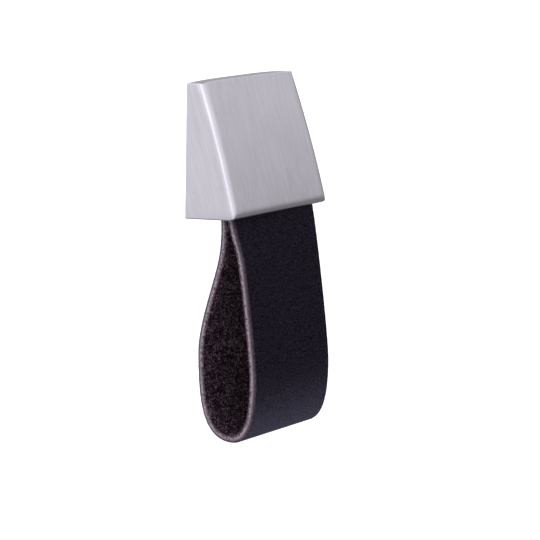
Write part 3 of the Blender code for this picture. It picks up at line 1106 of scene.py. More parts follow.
@dataclass
class Cap:
    """The die cast cap: drafted shell, bosses, cross rib and tapped fixing holes.

    The large sizes are the solid's. The roundings, the arch, the top's rise and the front's drop
    follow the photograph more closely and differ from the solid by up to 0.3 mm.

    Attributes:
        height: from the front bottom edge to the top edge, at its ends.
        width_bottom: width at the bottom, at the back.
        width_top: width at the top, at the back.
        depth_bottom: from the door to the front face, at the bottom.
        depth_top: the same at the top.
        bow: how far the front face bows out.
        arch: how far the top's middle stands above its ends.
        draft: slope by which the sides close in towards the front.
        bottom_draft: slope by which the underside falls towards the back.
        wall: thickness of the walls.
        side_edge_radius: rounding of the front's side edges, at their bottom and top ends.
        low_edge_radius: rounding of the front's lower edge.
        edge_radius: rounding of the other edges.
        back_edge_radius: rounding of the back face's edges.
        edge_profile: shape of the roundings, a little fuller than an arc's 0.5.
        top_rise: how much higher the top stands at the front than at the back.
        front_drop: how far the lower edge falls at the front.
        inner_radius: rounding of the hollow's edges.
        bore_floor: metal left in front of the clamp screws' holes.
        fixing_drop: from the top edge down to the fixing holes.
        fixing_spacing: between the fixing holes.
        fixing_boss: radius of the bosses around them.
        clamp_boss: radius of the bosses for the clamp screws.
        clamp_bore: radius of the holes in them.
        rib: thickness of the cross rib.
        strap_width: width of the strap.
        strap_end: how far the strap's ends reach up the seat.
        slot_side: room on each side of the strap in the mouth.
        slot_back: room behind it.
        overcut: how far a cutter passes the faces that it cuts.
        segments: facets across and up each face.
        edge_steps: facets around an outer edge and an edge of the hollow.
        sharp_angle: angle in degrees from which an edge stays sharp.
        hole: the fixing holes' tools.
        front_wall: the front wall's thickness, measured along Y.
        fixing_height: the fixing holes' height above the front bottom edge.
        seat: where the strap's ends are clamped.
    """

    height: float = 32.2 * MM
    width_bottom: float = 38.4 * MM
    width_top: float = 36.4 * MM
    depth_bottom: float = 15.5 * MM
    depth_top: float = 4.9 * MM
    bow: float = 0.6 * MM
    arch: float = 0.4 * MM
    draft: float = 0.05
    bottom_draft: float = 0.075
    wall: float = 1.8 * MM
    side_edge_radius: tuple[float, float] = (1.3 * MM, 2.4 * MM)
    low_edge_radius: float = 2.5 * MM
    edge_radius: float = 0.4 * MM
    back_edge_radius: float = 0.2 * MM
    edge_profile: float = 0.62
    top_rise: float = 0.25 * MM
    front_drop: float = 0.25 * MM
    inner_radius: float = 0.6 * MM
    bore_floor: float = 1.4 * MM
    fixing_drop: float = 9.5 * MM
    fixing_spacing: float = 16.0 * MM
    fixing_boss: float = 3.8 * MM
    clamp_boss: float = 2.5 * MM
    clamp_bore: float = 1.5 * MM
    rib: float = 3.0 * MM
    strap_width: float = 30.0 * MM
    strap_end: float = 15.5 * MM
    slot_side: float = 0.5 * MM
    slot_back: float = 1.1 * MM
    overcut: float = 1.0 * MM
    segments: int = 12
    edge_steps: tuple[int, int] = (10, 4)
    sharp_angle: float = 32.0
    hole: FixingHole = FixingHole()
    front_wall: float = field(init=False)
    fixing_height: float = field(init=False)
    seat: ClampSeat = field(init=False)

    def __post_init__(self) -> None:
        """Work out the front wall, the fixing holes' height and the clamp's seat."""
        slope = (self.depth_bottom - self.depth_top) / self.height
        self.front_wall = self.wall * math.hypot(1, slope)
        self.fixing_height = self.height - self.fixing_drop
        fall = self.depth_at(0) - self.depth_at(self.strap_end)
        mouth = Vector((0, self.front_wall - self.depth_bottom, -self.fixing_height))
        self.seat = ClampSeat(mouth, math.atan2(fall, self.strap_end))

    def depth_at(self, height: float) -> float:
        """Distance of the front face from the door, at a height above the front bottom edge."""
        share = height / self.height
        straight = self.depth_bottom + (self.depth_top - self.depth_bottom) * share
        return straight + 4 * self.bow * share * (1 - share)

    def half_width_at(self, height: float, y: float) -> float:
        """Half the cap's width at a height, at a place in front of the door."""
        share = height / self.height
        return (self.width_bottom + (self.width_top - self.width_bottom) * share) / 2 + self.draft * y

    def point(self, across: float, forward: float, up: float, wall: float, back: float) -> Vector:
        """A point of the cap's block, or of its hollow when there is a wall.

        Args:
            across: from -1 at the left to 1 at the right.
            forward: from 0 at the back to 1 at the front.
            up: from 0 at the bottom to 1 at the top.
            wall: how far the faces are moved in.
            back: where the back face lies.

        Returns:
            The point.
        """
        low = wall - self.bottom_draft * self.depth_bottom * (1 - forward) - self.front_drop * forward
        high = self.height + self.arch * (1 - across ** 4) + self.top_rise * forward - wall
        front_height = wall + (high - wall) * up
        front = -(self.depth_at(front_height) - (self.front_wall if wall else 0.0))
        y = back + (front - back) * forward
        height = low + (high - low) * up
        x = across * (self.half_width_at(height, y) - wall)
        return Vector((x, y, height - self.fixing_height))

    def fixing_place(self, side: int, outside: float) -> Matrix:
        """A place on a fixing hole's axis, outside the back face, with Z pointing away from it."""
        turn = Matrix.Rotation(-math.pi / 2, 4, "X")
        return Matrix.Translation((side * self.fixing_spacing / 2, outside, 0)) @ turn

    def outer_radius(self, middle: Vector) -> float:
        """Rounding of one of the shell's edges.

        Args:
            middle: the edge's middle on the two-unit cube that the shell is bent from.

        Returns:
            The radius.
        """
        near = 0.999
        if middle.y > near:
            return self.back_edge_radius
        if middle.y > -near:
            return self.edge_radius
        if abs(middle.x) > near:
            low, high = self.side_edge_radius
            return low + (high - low) * (1 + middle.z) / 2
        return self.low_edge_radius if middle.z < 0 else self.edge_radius

    def shell_block(self, name: str, wall: float, back: float, radius_at: Callable[[Vector], float],
                    steps: int) -> bpy.types.Object:
        """A block with the cap's curved faces and rounded edges.

        Args:
            name: the object's name.
            wall: how far its faces are moved in.
            back: where its back face lies.
            radius_at: gives the rounding of the edge at a place of the two-unit cube.
            steps: facets around each edge.

        Returns:
            The object.
        """
        bm = bmesh.new()
        bmesh.ops.create_cube(bm, size=2.0)
        for index in range(1, self.segments):
            place = -1 + 2 * index / self.segments
            for axis in (Vector((1, 0, 0)), Vector((0, 0, 1))):
                everything = bm.verts[:] + bm.edges[:] + bm.faces[:]
                bmesh.ops.bisect_plane(bm, geom=everything, plane_co=axis * place, plane_no=axis)
        weight = bm.edges.layers.float.new("bevel_weight_edge")
        for edge in bm.edges:
            corner = edge.calc_face_angle(0) > math.radians(45)
            middle = (edge.verts[0].co + edge.verts[1].co) / 2
            edge[weight] = radius_at(middle) / self.low_edge_radius if corner else 0.0
        for vertex in bm.verts:
            across, rear, up = vertex.co
            vertex.co = self.point(across, (1 - rear) / 2, (1 + up) / 2, wall, back)
        made = solid(bm, name)
        rounding = made.modifiers.new("rounding", "BEVEL")
        rounding.width = self.low_edge_radius
        rounding.segments = steps
        rounding.profile = self.edge_profile
        rounding.limit_method = "WEIGHT"
        made.modifiers.new("flat_facets", "TRIANGULATE")
        return made

    def bosses(self) -> list[bpy.types.Object]:
        """What is left standing in the hollow.

        Returns:
            The rib and the four bosses.
        """
        reach = self.depth_bottom + 3 * self.overcut
        core = block("rib_core", (2 * self.width_bottom, 2 * reach, self.rib), Matrix.Identity(4))
        standing = [core]
        top = self.seat.plate_face - self.seat.clearance
        for side in (-1, 1):
            place = self.fixing_place(side, 2 * self.overcut)
            standing.append(rod(f"fixing_boss_{side}", self.fixing_boss, reach, place))
            place = self.seat.boss(side, top)
            standing.append(rod(f"clamp_boss_{side}", self.clamp_boss, top + 2 * self.overcut, place))
        return standing

    def cutters(self) -> list[bpy.types.Object]:
        """What is cut out of the casting.

        Returns:
            The fixing holes' tools, the clamp screws' holes and the strap's mouth.
        """
        seat = self.seat
        tree = ThreadTree()
        drills = []
        for side in (-1, 1):
            drills += self.hole.tools(tree, side, self.fixing_place(side, 0.0))
            place = seat.boss(side, seat.plate_face + self.overcut)
            depth = seat.plate_face + self.overcut + self.wall - self.bore_floor
            drills.append(rod(f"clamp_bore_{side}", self.clamp_bore, depth, place))
        front = seat.clearance / 2
        back = seat.stack + self.slot_back
        size = (self.strap_width + 2 * self.slot_side, 2 * (self.wall + 2 * self.overcut), back - front)
        drills.append(block("mouth", size, seat.matrix(0, 0, (front + back) / 2)))
        return drills

    def build(self) -> bpy.types.Object:
        """Model the cap and dress it.

        Returns:
            The finished piece.
        """
        outside = SatinMetal().material()
        inside = CastMetal().material()
        outer_steps, inner_steps = self.edge_steps
        shell = self.shell_block("cap_shell", 0.0, 0.0, self.outer_radius, outer_steps)
        shell.data.materials.append(outside)
        hollow = self.shell_block("cap_hollow", self.wall, self.overcut, lambda middle: self.inner_radius,
                                  inner_steps)
        hollow.data.materials.append(inside)
        helpers = self.bosses()
        cut(hollow, helpers)
        drills = self.cutters()
        for drill in drills:
            drill.data.materials.append(inside)
        cut(shell, [hollow, *drills], keep_paint=True)
        cap = frozen(shell, "cap_body")
        for helper in (shell, hollow, *helpers, *drills):
            remove(helper)
        cap.data.shade_smooth()
        cap.data.set_sharp_from_angle(angle=math.radians(self.sharp_angle))
        settle(cap, "cap_metal", "cap")
        return cap


class Side(enum.Enum):
    """The sides of the leather."""

    GRAIN = "grain"
    CUT = "cut"
    FLESH = "flesh"


@dataclass(frozen=True)
class EdgePoint:
    """A point of the strap's section.

    Attributes:
        across: place across the strap, from its middle.
        through: place through the leather, 0 on the flesh side to 1 on the grain side.
        side: the side it is on.
    """

    across: float
    through: float
    side: Side


@dataclass(frozen=True)
class FibreCoat:
    """The loose fibres on one side of the strap.

    Attributes:
        density: fibres on each square metre.
        length: the longest fibre's length.
        radius: its radius at the root.
        lean: least and greatest lean from upright, in radians.
        seed: seed of their places and leans.
        where: the attribute that marks where they stand.
        finish: their finish.
    """

    density: float
    length: float
    radius: float
    lean: tuple[float, float]
    seed: int
    where: str
    finish: LooseFibre

    def grow(self, tree: FibreScatter, strap: bpy.types.Object, name: str) -> bpy.types.Object:
        """Stand the fibres on the strap.

        Args:
            tree: scatters them.
            strap: the strap.
            name: the new piece's name.

        Returns:
            The fibres as one piece.
        """
        low, high = self.lean
        return tree.run(strap, name, Density=self.density, Length=self.length, Radius=self.radius,
                        Lean_Low=low, Lean_High=high, Seed=self.seed, Where=self.where,
                        Material=self.finish.material())


@dataclass
class Strap:
    """The folded leather strap with its grain, cut edges, flesh side and loose fibres.

    The centre line is the solid's, and only the pinch departs from it. The loop's points are depths
    in front of the door and drops below the cap's front edge. The pulls are the lengths of their
    handles.

    Attributes:
        cap: the cap that holds the strap.
        back_bend: height above the mouth at which the back leg starts to bend.
        loop_back: the loop's rearmost point.
        loop_bottom: its lowest point.
        loop_front: its foremost point.
        mouth_pull: the handles' lengths at the mouth, on the back leg and the front leg.
        back_pull: the same at the rearmost point, above it and below it.
        bottom_pull: the same at the lowest point, behind it and in front of it.
        front_pull: the same at the foremost point, below it and above it.
        row: spacing of the mesh's rings along the strap.
        grain_columns: facets across the grain side.
        round_columns: facets around an edge's rounding at the grain side.
        edge_rows: facets down a cut edge.
        flesh_columns: facets across the flesh side.
        grain_round: rounding of the edges at the grain side.
        flesh_round: rounding of the edges at the flesh side.
        edge_bulge: how far the middle of a cut edge bulges.
        roughness: depth of the ragged bare sides.
        rough_scale: their bumps in each metre.
        flesh_sink: how far the flesh side lies inside its flat place.
        pinch: how far the left edges are drawn back at the mouth, on the back leg and the front leg.
        pinch_reach: how far the pinch shows above and below the mouth.
        frayed_below: place through the leather below which loose fibres stand on a cut edge.
        punch: radius of the holes for the clamp's bosses.
        overcut: how far the punch passes the leather.
        nap: the flesh side's fibres.
        fluff: the cut edges' fibres.
    """

    cap: Cap
    back_bend: float = 4.2 * MM
    loop_back: tuple[float, float] = (1.1 * MM, 36.0 * MM)
    loop_bottom: tuple[float, float] = (10.1 * MM, 56.3 * MM)
    loop_front: tuple[float, float] = (17.8 * MM, 40.2 * MM)
    mouth_pull: tuple[float, float] = (11.7 * MM, 4.5 * MM)
    back_pull: tuple[float, float] = (11.6 * MM, 11.3 * MM)
    bottom_pull: tuple[float, float] = (8.0 * MM, 4.5 * MM)
    front_pull: tuple[float, float] = (12.6 * MM, 6.0 * MM)
    row: float = 0.36 * MM
    grain_columns: int = 20
    round_columns: int = 4
    edge_rows: int = 9
    flesh_columns: int = 64
    grain_round: float = 0.55 * MM
    flesh_round: float = 0.16 * MM
    edge_bulge: float = 0.05 * MM
    roughness: float = 0.05 * MM
    rough_scale: float = 1400.0
    flesh_sink: float = 0.02 * MM
    pinch: tuple[float, float] = (0.9 * MM, 1.6 * MM)
    pinch_reach: tuple[float, float] = (5.0 * MM, 13.0 * MM)
    frayed_below: float = 0.8
    punch: float = 2.8 * MM
    overcut: float = 1.0 * MM
    nap: FibreCoat = FibreCoat(2.1e6, 0.62 * MM, 0.034 * MM, (0.6, 1.35), 11, "flesh",
                               LooseFibre("nap_fibre", (0.012, 0.005, 0.010), (0.54, 0.42, 0.53)))
    fluff: FibreCoat = FibreCoat(6.0e6, 0.30 * MM, 0.024 * MM, (0.9, 1.45), 23, "frayed",
                                 LooseFibre("edge_fibre", (0.05, 0.035, 0.045), (0.42, 0.36, 0.43)))

    @property
    def width(self) -> float:
        """The strap's width."""
        return self.cap.strap_width

    @property
    def leather(self) -> float:
        """The leather's thickness."""
        return self.cap.seat.leather

    def side_point(self, place: tuple[float, float]) -> Vector:
        """A point in the side view from its depth and drop."""
        depth, drop = place
        return Vector((0, -depth, -drop - self.cap.fixing_height))

    def spans(self) -> list[tuple[Vector, Vector, Vector, Vector]]:
        """The centre line's stretches.

        Returns:
            The four points of each one's cubic curve, from the back leg's end to the front leg's.
        """
        seat = self.cap.seat
        down = Vector((0, 0, -1))
        forward = Vector((0, -1, 0))
        back_end = seat.point(0, self.cap.strap_end, seat.back_leg)
        back_mouth = seat.point(0, self.back_bend, seat.back_leg)
        front_mouth = seat.point(0, 0, seat.front_leg)
        front_end = seat.point(0, self.cap.strap_end, seat.front_leg)
        straight = seat.along * ((self.cap.strap_end - self.back_bend) / 3)
        back, bottom, front = (self.side_point(place)
                               for place in (self.loop_back, self.loop_bottom, self.loop_front))
        return [
            (back_end, back_end - straight, back_mouth + straight, back_mouth),
            (back_mouth, back_mouth - seat.along * self.mouth_pull[0], back - down * self.back_pull[0], back),
            (back, back + down * self.back_pull[1], bottom - forward * self.bottom_pull[0], bottom),
            (bottom, bottom + forward * self.bottom_pull[1], front + down * self.front_pull[0], front),
            (front, front - down * self.front_pull[1], front_mouth - seat.along * self.mouth_pull[1],
             front_mouth),
            (front_mouth, front_mouth + straight, front_end - straight, front_end),
        ]

    def centre_line(self) -> list[tuple[Vector, Vector]]:
        """The centre line as evenly spaced points.

        Returns:
            Each point with the line's direction there.
        """
        dense: list[tuple[Vector, Vector]] = []
        steps = 200
        for a, b, c, d in self.spans():
            for index in range(steps):
                t = index / steps
                point = a * (1 - t) ** 3 + b * (3 * t * (1 - t) ** 2) + c * (3 * t * t * (1 - t)) + d * t ** 3
                way = (b - a) * (1 - t) ** 2 + (c - b) * (2 * t * (1 - t)) + (d - c) * t * t
                dense.append((point, way.normalized()))
        dense.append((self.spans()[-1][3], self.cap.seat.along))
        runs = [0.0]
        for (before, _), (after, _) in zip(dense, dense[1:]):
            runs.append(runs[-1] + (after - before).length)
        count = round(runs[-1] / self.row)
        line = []
        place = 0
        for index in range(count + 1):
            wanted = runs[-1] * index / count
            while place < len(dense) - 2 and runs[place + 1] < wanted:
                place += 1
            share = (wanted - runs[place]) / max(runs[place + 1] - runs[place], 1e-12)
            (p0, d0), (p1, d1) = dense[place], dense[place + 1]
            line.append((p0.lerp(p1, share), d0.lerp(d1, share).normalized()))
        return line

    def section(self) -> list[EdgePoint]:
        """The strap's section, once round.

        Returns:
            Its points: grain side, right edge, flesh side and left edge.
        """
        half = self.width / 2
        top = self.grain_round
        low = self.flesh_round
        points = []
        for index in range(self.grain_columns + 1):
            across = (half - top) * (2 * index / self.grain_columns - 1)
            points.append(EdgePoint(across, 1.0, Side.GRAIN))
        right = []
        for index in range(1, self.round_columns + 1):
            angle = math.pi / 2 * index / self.round_columns
            through = 1 - top * (1 - math.cos(angle)) / self.leather
            right.append(EdgePoint(half - top + top * math.sin(angle), through, Side.CUT))
        span = 1 - (top + low) / self.leather
        for index in range(1, self.edge_rows):
            share = index / self.edge_rows
            bulge = self.edge_bulge * math.sin(math.pi * share)
            through = 1 - top / self.leather - span * share
            right.append(EdgePoint(half + bulge, through, Side.CUT))
        inner = 0.3 * low
        right.append(EdgePoint(half, low / self.leather, Side.CUT))
        right.append(EdgePoint(half - inner, inner / self.leather, Side.CUT))
        points += right
        for index in range(self.flesh_columns + 1):
            across = (half - low) * (1 - 2 * index / self.flesh_columns)
            points.append(EdgePoint(across, 0.0, Side.FLESH))
        points += [EdgePoint(-point.across, point.through, point.side) for point in reversed(right)]
        return points

    def place(self, centre: Vector, way: Vector, point: EdgePoint) -> Vector:
        """Where a point of the section lies at one place of the centre line.

        Args:
            centre: the place.
            way: the line's direction there.
            point: the section's point.

        Returns:
            The point, roughened on the bare sides.
        """
        outward = Vector((0, -way.z, way.y))
        here = centre + outward * ((point.through - 0.5) * self.leather) + Vector((point.across, 0, 0))
        here.y += self.drawn_back(here, way)
        if point.side is Side.GRAIN:
            return here
        rough = noise.fractal(here * self.rough_scale, 0.6, 2.0, 3) * self.roughness
        if point.side is Side.FLESH:
            return here - outward * (rough + self.flesh_sink)
        return here + Vector((math.copysign(rough, point.across * rough), 0, 0))

    def drawn_back(self, here: Vector, way: Vector) -> float:
        """How far a place near the mouth is drawn back, most at the strap's left edge.

        Args:
            here: the place.
            way: the centre line's direction there, which is up on the front leg.

        Returns:
            The distance.
        """
        above = here.z - self.cap.seat.mouth.z
        reach = self.pinch_reach[0] if above > 0 else self.pinch_reach[1]
        share = max(0.0, 1 - abs(above) / reach)
        left = max(0.0, -2 * here.x / self.width)
        back_pinch, front_pinch = self.pinch
        most = front_pinch if way.z > 0 else back_pinch
        return most * left ** 1.5 * share * share * (3 - 2 * share)

    def mesh(self) -> bpy.types.Object:
        """The strap's skin as one closed mesh.

        Its attributes "cut" and "flesh" mark the bare sides, "through" is the place through the
        leather, and "frayed" marks where loose fibres stand on the cut edges.

        Returns:
            The object.
        """
        line = self.centre_line()
        section = self.section()
        bm = bmesh.new()
        names = ("cut", "flesh", "through", "frayed")
        layers = [bm.verts.layers.float.new(name) for name in names]
        rings = []
        for centre, way in line:
            ring = []
            for point in section:
                vertex = bm.verts.new(self.place(centre, way, point))
                bare = point.side is Side.CUT
                frayed = bare and point.through < self.frayed_below
                values = (bare, point.side is Side.FLESH, point.through, frayed)
                for layer, value in zip(layers, values):
                    vertex[layer] = float(value)
                ring.append(vertex)
            rings.append(ring)
        count = len(section)
        for before, after in zip(rings, rings[1:]):
            for index in range(count):
                other = (index + 1) % count
                bm.faces.new((before[index], before[other], after[other], after[index]))
        bm.faces.new(rings[0])
        bm.faces.new(reversed(rings[-1]))
        return solid(bm, "strap_skin")

    def punched(self, skin: bpy.types.Object) -> bpy.types.Object:
        """Punch the holes for the clamp's bosses.

        Args:
            skin: the whole strap, which is removed.

        Returns:
            The strap as a plain mesh.
        """
        seat = self.cap.seat
        punches = []
        for side in (-1, 1):
            place = seat.boss(side, seat.stack + self.overcut)
            punches.append(rod(f"punch_{side}", self.punch, seat.stack + 2 * self.overcut, place, facets=32))
        cut(skin, punches)
        strap = frozen(skin, "strap_leather")
        for helper in (skin, *punches):
            remove(helper)
        return strap

    def build(self) -> bpy.types.Object:
        """Model the strap and its fibres and dress them.

        Returns:
            The strap.
        """
        strap = self.punched(self.mesh())
        strap.data.materials.clear()
        strap.data.materials.append(StrapLeather().material())
        strap.data.shade_smooth()
        settle(strap, "strap_leather", "strap")
        scatter = FibreScatter()
        for name, coat in (("flesh_side_fibres", self.nap), ("cut_edge_fibres", self.fluff)):
            settle(coat.grow(scatter, strap, name), "strap_leather")
        return strap


@dataclass
class Clamp:
    """The clamp's two screws, with the threads and cross recesses that their solids leave out.

    The class also holds the finish of the plate, which keeps its solid.

    Attributes:
        seat: where the screws sit.
        head_radius: radius of the pan head.
        head_height: its height.
        head_round: rounding of its rim.
        crown: how far its top is domed.
        head_chamfer: chamfer of its underside.
        head_steps: facets across the crown, around the rim and once around the head.
        core_radius: the thread's radius between its crests.
        crest_radius: radius of its crests.
        pitch: its pitch.
        length: its length below the head.
        sunk: how far the thread's top stands inside the head.
        turn: angle between the two screws' crosses, in radians.
        recess_length: length of the cross's arms at the top.
        recess_width: their width at the top.
        recess_depth: the recess's depth.
        recess_floor: length and width at its floor, as shares of those at the top.
        overcut: how far the recess's cutter passes the head's top.
        sharp_angle: angle in degrees from which an edge stays sharp.
        screw_finish: the screws' plating.
        plate_finish: the plate's plating.
    """

    seat: ClampSeat
    head_radius: float = 2.75 * MM
    head_height: float = 1.9 * MM
    head_round: float = 1.0 * MM
    crown: float = 0.25 * MM
    head_chamfer: float = 0.08 * MM
    head_steps: tuple[int, int, int] = (5, 8, 64)
    core_radius: float = 1.2 * MM
    crest_radius: float = 1.46 * MM
    pitch: float = 0.5 * MM
    length: float = 6.0 * MM
    sunk: float = 0.2 * MM
    turn: float = 0.9
    recess_length: float = 2.9 * MM
    recess_width: float = 0.62 * MM
    recess_depth: float = 1.15 * MM
    recess_floor: tuple[float, float] = (0.45, 0.8625)
    overcut: float = 0.2 * MM
    sharp_angle: float = 35.0
    screw_finish: PlatedSteel = PlatedSteel("screw_plating", (0.66, 0.66, 0.68), 0.27)
    plate_finish: PlatedSteel = PlatedSteel("plate_plating", (0.57, 0.575, 0.60), 0.36)

    def head_profile(self) -> list[tuple[float, float]]:
        """Half the head's outline.

        Returns:
            Its radii and heights, from the crown to the underside.
        """
        flat = self.head_radius - self.head_round
        crown_steps, rim_steps, _ = self.head_steps
        points = [(0.0, self.head_height)]
        for index in range(1, crown_steps + 1):
            share = index / crown_steps
            points.append((flat * share, self.head_height - self.crown * share ** 2))
        shoulder = self.head_height - self.crown
        for index in range(1, rim_steps + 1):
            angle = math.pi / 2 * index / rim_steps
            points.append((flat + self.head_round * math.sin(angle),
                           shoulder - self.head_round * (1 - math.cos(angle))))
        chamfer = self.head_chamfer
        points += [(self.head_radius, chamfer), (self.head_radius - chamfer, 0.0), (0.0, 0.0)]
        return points

    def head(self) -> bpy.types.Object:
        """The pan head with its tapered cross recess.

        Returns:
            The object.
        """
        bm = bmesh.new()
        ring = [bm.verts.new((radius, 0, height)) for radius, height in self.head_profile()]
        edges = [bm.edges.new(pair) for pair in zip(ring, ring[1:])]
        bmesh.ops.spin(bm, geom=ring + edges, cent=(0, 0, 0), axis=(0, 0, 1), angle=math.tau,
                       steps=self.head_steps[2], use_merge=True)
        bmesh.ops.remove_doubles(bm, verts=bm.verts[:], dist=0.001 * MM)
        made = solid(bm, "screw_head")
        arms = [self.recess_arm(turn) for turn in (0.0, math.pi / 2)]
        cut(made, arms)
        head = frozen(made, "screw_head_cut")
        for helper in (made, *arms):
            remove(helper)
        return head

    def recess_arm(self, turn: float) -> bpy.types.Object:
        """One arm of the cross, wide at its top and narrow at its bottom.

        Args:
            turn: the arm's turn about the screw, in radians.

        Returns:
            The object.
        """
        long, wide = self.recess_floor
        bm = bmesh.new()
        bmesh.ops.create_cube(bm, size=1.0)
        for vertex in bm.verts:
            top = vertex.co.z > 0
            vertex.co.x *= self.recess_length * (1.0 if top else long)
            vertex.co.y *= self.recess_width * (1.0 if top else wide)
            vertex.co.z = self.head_height + (self.overcut if top else -self.recess_depth)
        return solid(bm, f"recess_{turn:.1f}", Matrix.Rotation(turn, 4, "Z"))

    def build(self) -> bpy.types.Object:
        """Model both screws and dress them.

        Returns:
            The screws as one piece.
        """
        head = self.head()
        thread = ThreadTree().thread("thread", self.core_radius, self.crest_radius, self.pitch,
                                     self.length + self.sunk)
        thread.data.transform(Matrix.Translation((0, 0, self.sunk)))
        bm = bmesh.new()
        bm.from_mesh(head.data)
        bm.from_mesh(thread.data)
        screw = solid(bm, "one_screw")
        seat = self.seat
        pair = PairTree().run(screw, "clamp_screws", Spacing=seat.spacing, Turn=self.turn,
                              Material=self.screw_finish.material())
        pair.data.transform(seat.matrix(0, seat.height, seat.head_seat))
        for helper in (head, thread, screw):
            remove(helper)
        tidy_mesh(pair, self.sharp_angle)
        settle(pair, "screw_steel", "clamp_screw_left", "clamp_screw_right")
        return pair

    def dress_plate(self) -> None:
        """Give the plate's solid its zinc plating."""
        finish = self.plate_finish.material()
        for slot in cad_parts["clamp_plate"].material_slots:
            slot.material = finish
        LOG.info("clamp_plate: dressed")


@dataclass(frozen=True)
class SoftLamp:
    """A soft square lamp aimed at the pull.

    Attributes:
        name: its name.
        azimuth: its side angle in degrees, as the camera's.
        elevation: its height angle in degrees.
        distance: its distance from the pull.
        size: its side.
        power: its power in watts.
    """

    name: str
    azimuth: float
    elevation: float
    distance: float
    size: float
    power: float


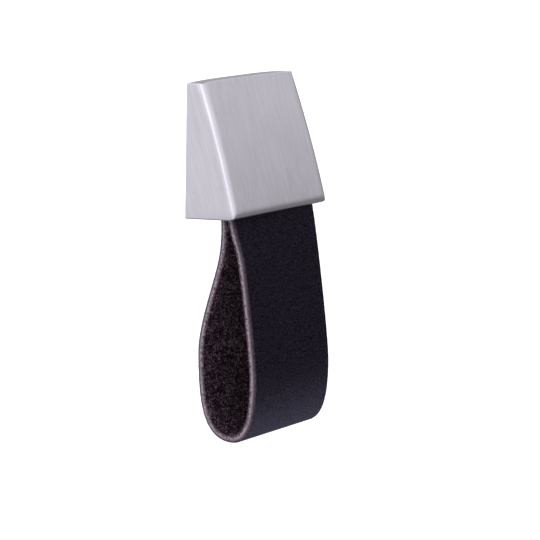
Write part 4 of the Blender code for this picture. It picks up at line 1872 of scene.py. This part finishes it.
@dataclass
class Studio:
    """The floor, the pale surroundings, the lamp and the camera.

    Attributes:
        target: what the camera looks at.
        azimuth: the camera's side angle in degrees, 0 in front of the pull and negative to its left.
        elevation: its height angle in degrees.
        roll: its roll in degrees.
        distance: its distance from the target.
        sensor: width of its sensor in millimetres.
        lens: its focal length in millimetres.
        near: where its view starts, in metres.
        key: the lamp.
        room_tilt: how the room's light grows along X, Y and Z.
        room_twist: how much it falls towards the front left and the back right.
        room_level: the light at the middle of the room's height.
        room_least: its least strength.
        room_most: its greatest strength: how that grows along X, and its level.
        floor_drop: how far the floor lies below the origin.
        floor_reach: half the floor's side.
        floor_grey: the floor's colour.
        floor_roughness: its roughness.
        floor_glow: light that it gives to the camera and to transmitted rays.
        mirror_slope: the light that it gives to reflections: how that grows along X, and its level.
        mirror_range: the least and the greatest of that light.
    """

    target: Vector = field(default_factory=lambda: Vector((-2.060, -13.036, -37.705)) * MM)
    azimuth: float = -51.336
    elevation: float = 10.922
    roll: float = -0.040
    distance: float = 581.9 * MM
    sensor: float = 36.0
    lens: float = 155.56
    near: float = 10.0 * MM
    key: SoftLamp = SoftLamp("key_lamp", -77.0, 18.0, 1.0, 0.34, 0.4)
    room_tilt: tuple[float, float, float] = (-0.57, -0.23, 1.6)
    room_twist: float = 0.19
    room_level: float = 0.575
    room_least: float = 0.3
    room_most: tuple[float, float] = (-0.33, 1.13)
    floor_drop: float = 0.42
    floor_reach: float = 6.0
    floor_grey: float = 0.86
    floor_roughness: float = 0.9
    floor_glow: float = 0.34
    mirror_slope: tuple[float, float] = (-0.50, 0.25)
    mirror_range: tuple[float, float] = (0.26, 1.0)

    def standing(self, azimuth: float, elevation: float, distance: float) -> Matrix:
        """A place around the target that faces it.

        Args:
            azimuth: its side angle in degrees.
            elevation: its height angle in degrees.
            distance: its distance from the target.

        Returns:
            The place, with its -Z axis on the target.
        """
        side, height = math.radians(azimuth), math.radians(elevation)
        back = Vector((math.sin(side) * math.cos(height), -math.cos(side) * math.cos(height),
                       math.sin(height)))
        turn = back.to_track_quat("Z", "Y").to_matrix().to_4x4()
        return Matrix.Translation(self.target + back * distance) @ turn

    def camera(self) -> None:
        """Stand the camera at the photograph's angle."""
        data = bpy.data.cameras.new("camera")
        data.sensor_width = self.sensor
        data.lens = self.lens
        data.clip_start = self.near
        roll = Matrix.Rotation(math.radians(self.roll), 4, "Z")
        place = self.standing(self.azimuth, self.elevation, self.distance) @ roll
        bpy.context.scene.camera = new_object("camera", data, place)

    def lamp(self) -> None:
        """Add the lamp."""
        key = self.key
        data = bpy.data.lights.new(key.name, "AREA")
        data.shape = "SQUARE"
        data.size = key.size
        data.energy = key.power
        new_object(key.name, data, self.standing(key.azimuth, key.elevation, key.distance))

    def surroundings(self) -> None:
        """A pale studio, lit from the upper left and dimmer to the right, white to the camera."""
        world = bpy.data.worlds.new("surroundings")
        bpy.context.scene.world = world
        world.use_nodes = True
        graph = Graph(world.node_tree)
        graph.tree.nodes.clear()
        way = graph.node("ShaderNodeTexCoord", {}).outputs["Generated"]
        parts = graph.node("ShaderNodeSeparateXYZ", {0: way})
        x, y, z = (Value(graph, socket) for socket in parts.outputs)
        along_x, along_y, along_z = self.room_tilt
        room = x * along_x + y * along_y + z * along_z - x * y * self.room_twist + self.room_level
        growth, level = self.room_most
        room = room.math("MAXIMUM", self.room_least).math("MINIMUM", x * growth + level)
        seen = graph.value("ShaderNodeLightPath", {}, "Is Camera Ray")
        strength = room * (1.0 - seen) + seen
        shader = graph.node("ShaderNodeBackground", {"Color": (1.0, 1.0, 1.0, 1.0), "Strength": strength})
        graph.node("ShaderNodeOutputWorld", {"Surface": shader.outputs[0]})

    def floor(self) -> None:
        """A plain pale floor far below the pull, dimmer to the right where it is mirrored."""
        bm = bmesh.new()
        bmesh.ops.create_grid(bm, x_segments=1, y_segments=1, size=self.floor_reach)
        made = solid(bm, "floor", Matrix.Translation((0, 0, -self.floor_drop)))
        surface = Surface("floor")
        rays = surface.node("ShaderNodeLightPath", {})
        seen, mirrored, passed = (Value(surface, rays.outputs[f"Is {name} Ray"])
                                  for name in ("Camera", "Glossy", "Transmission"))
        grey = self.floor_grey
        surface.finish(Base_Color=(grey, grey, grey, 1.0), Roughness=self.floor_roughness)
        white = (1.0, 1.0, 1.0, 1.0)
        light = (seen + passed) * self.floor_glow
        glow = surface.node("ShaderNodeEmission", {"Color": white, "Strength": light})
        bright = surface.node("ShaderNodeAddShader", {0: surface.shader.outputs[0], 1: glow.outputs[0]})
        x = surface.value("ShaderNodeSeparateXYZ", {0: surface.place})
        growth, level = self.mirror_slope
        least, most = self.mirror_range
        left = (x * growth + level).math("MAXIMUM", least).math("MINIMUM", most)
        image = surface.node("ShaderNodeEmission", {"Color": white, "Strength": left})
        both = surface.node("ShaderNodeMixShader", {0: mirrored, 1: bright.outputs[0], 2: image.outputs[0]})
        output = next(node for node in surface.tree.nodes if node.type == "OUTPUT_MATERIAL")
        surface.feed(output.inputs["Surface"], both.outputs[0])
        made.data.materials.append(surface.material)

    def build(self) -> None:
        """Set the stage."""
        self.camera()
        self.surroundings()
        self.floor()
        self.lamp()
        bpy.context.scene.view_settings.view_transform = "Standard"
        LOG.info("studio: camera, floor and lamp")


def main() -> None:
    """Build the studio and each sub-assembly in order."""
    Studio().build()
    cap = Cap()
    cap.build()
    Strap(cap).build()
    clamp = Clamp(cap.seat)
    clamp.build()
    clamp.dress_plate()


if __name__ == "__main__":
    main()
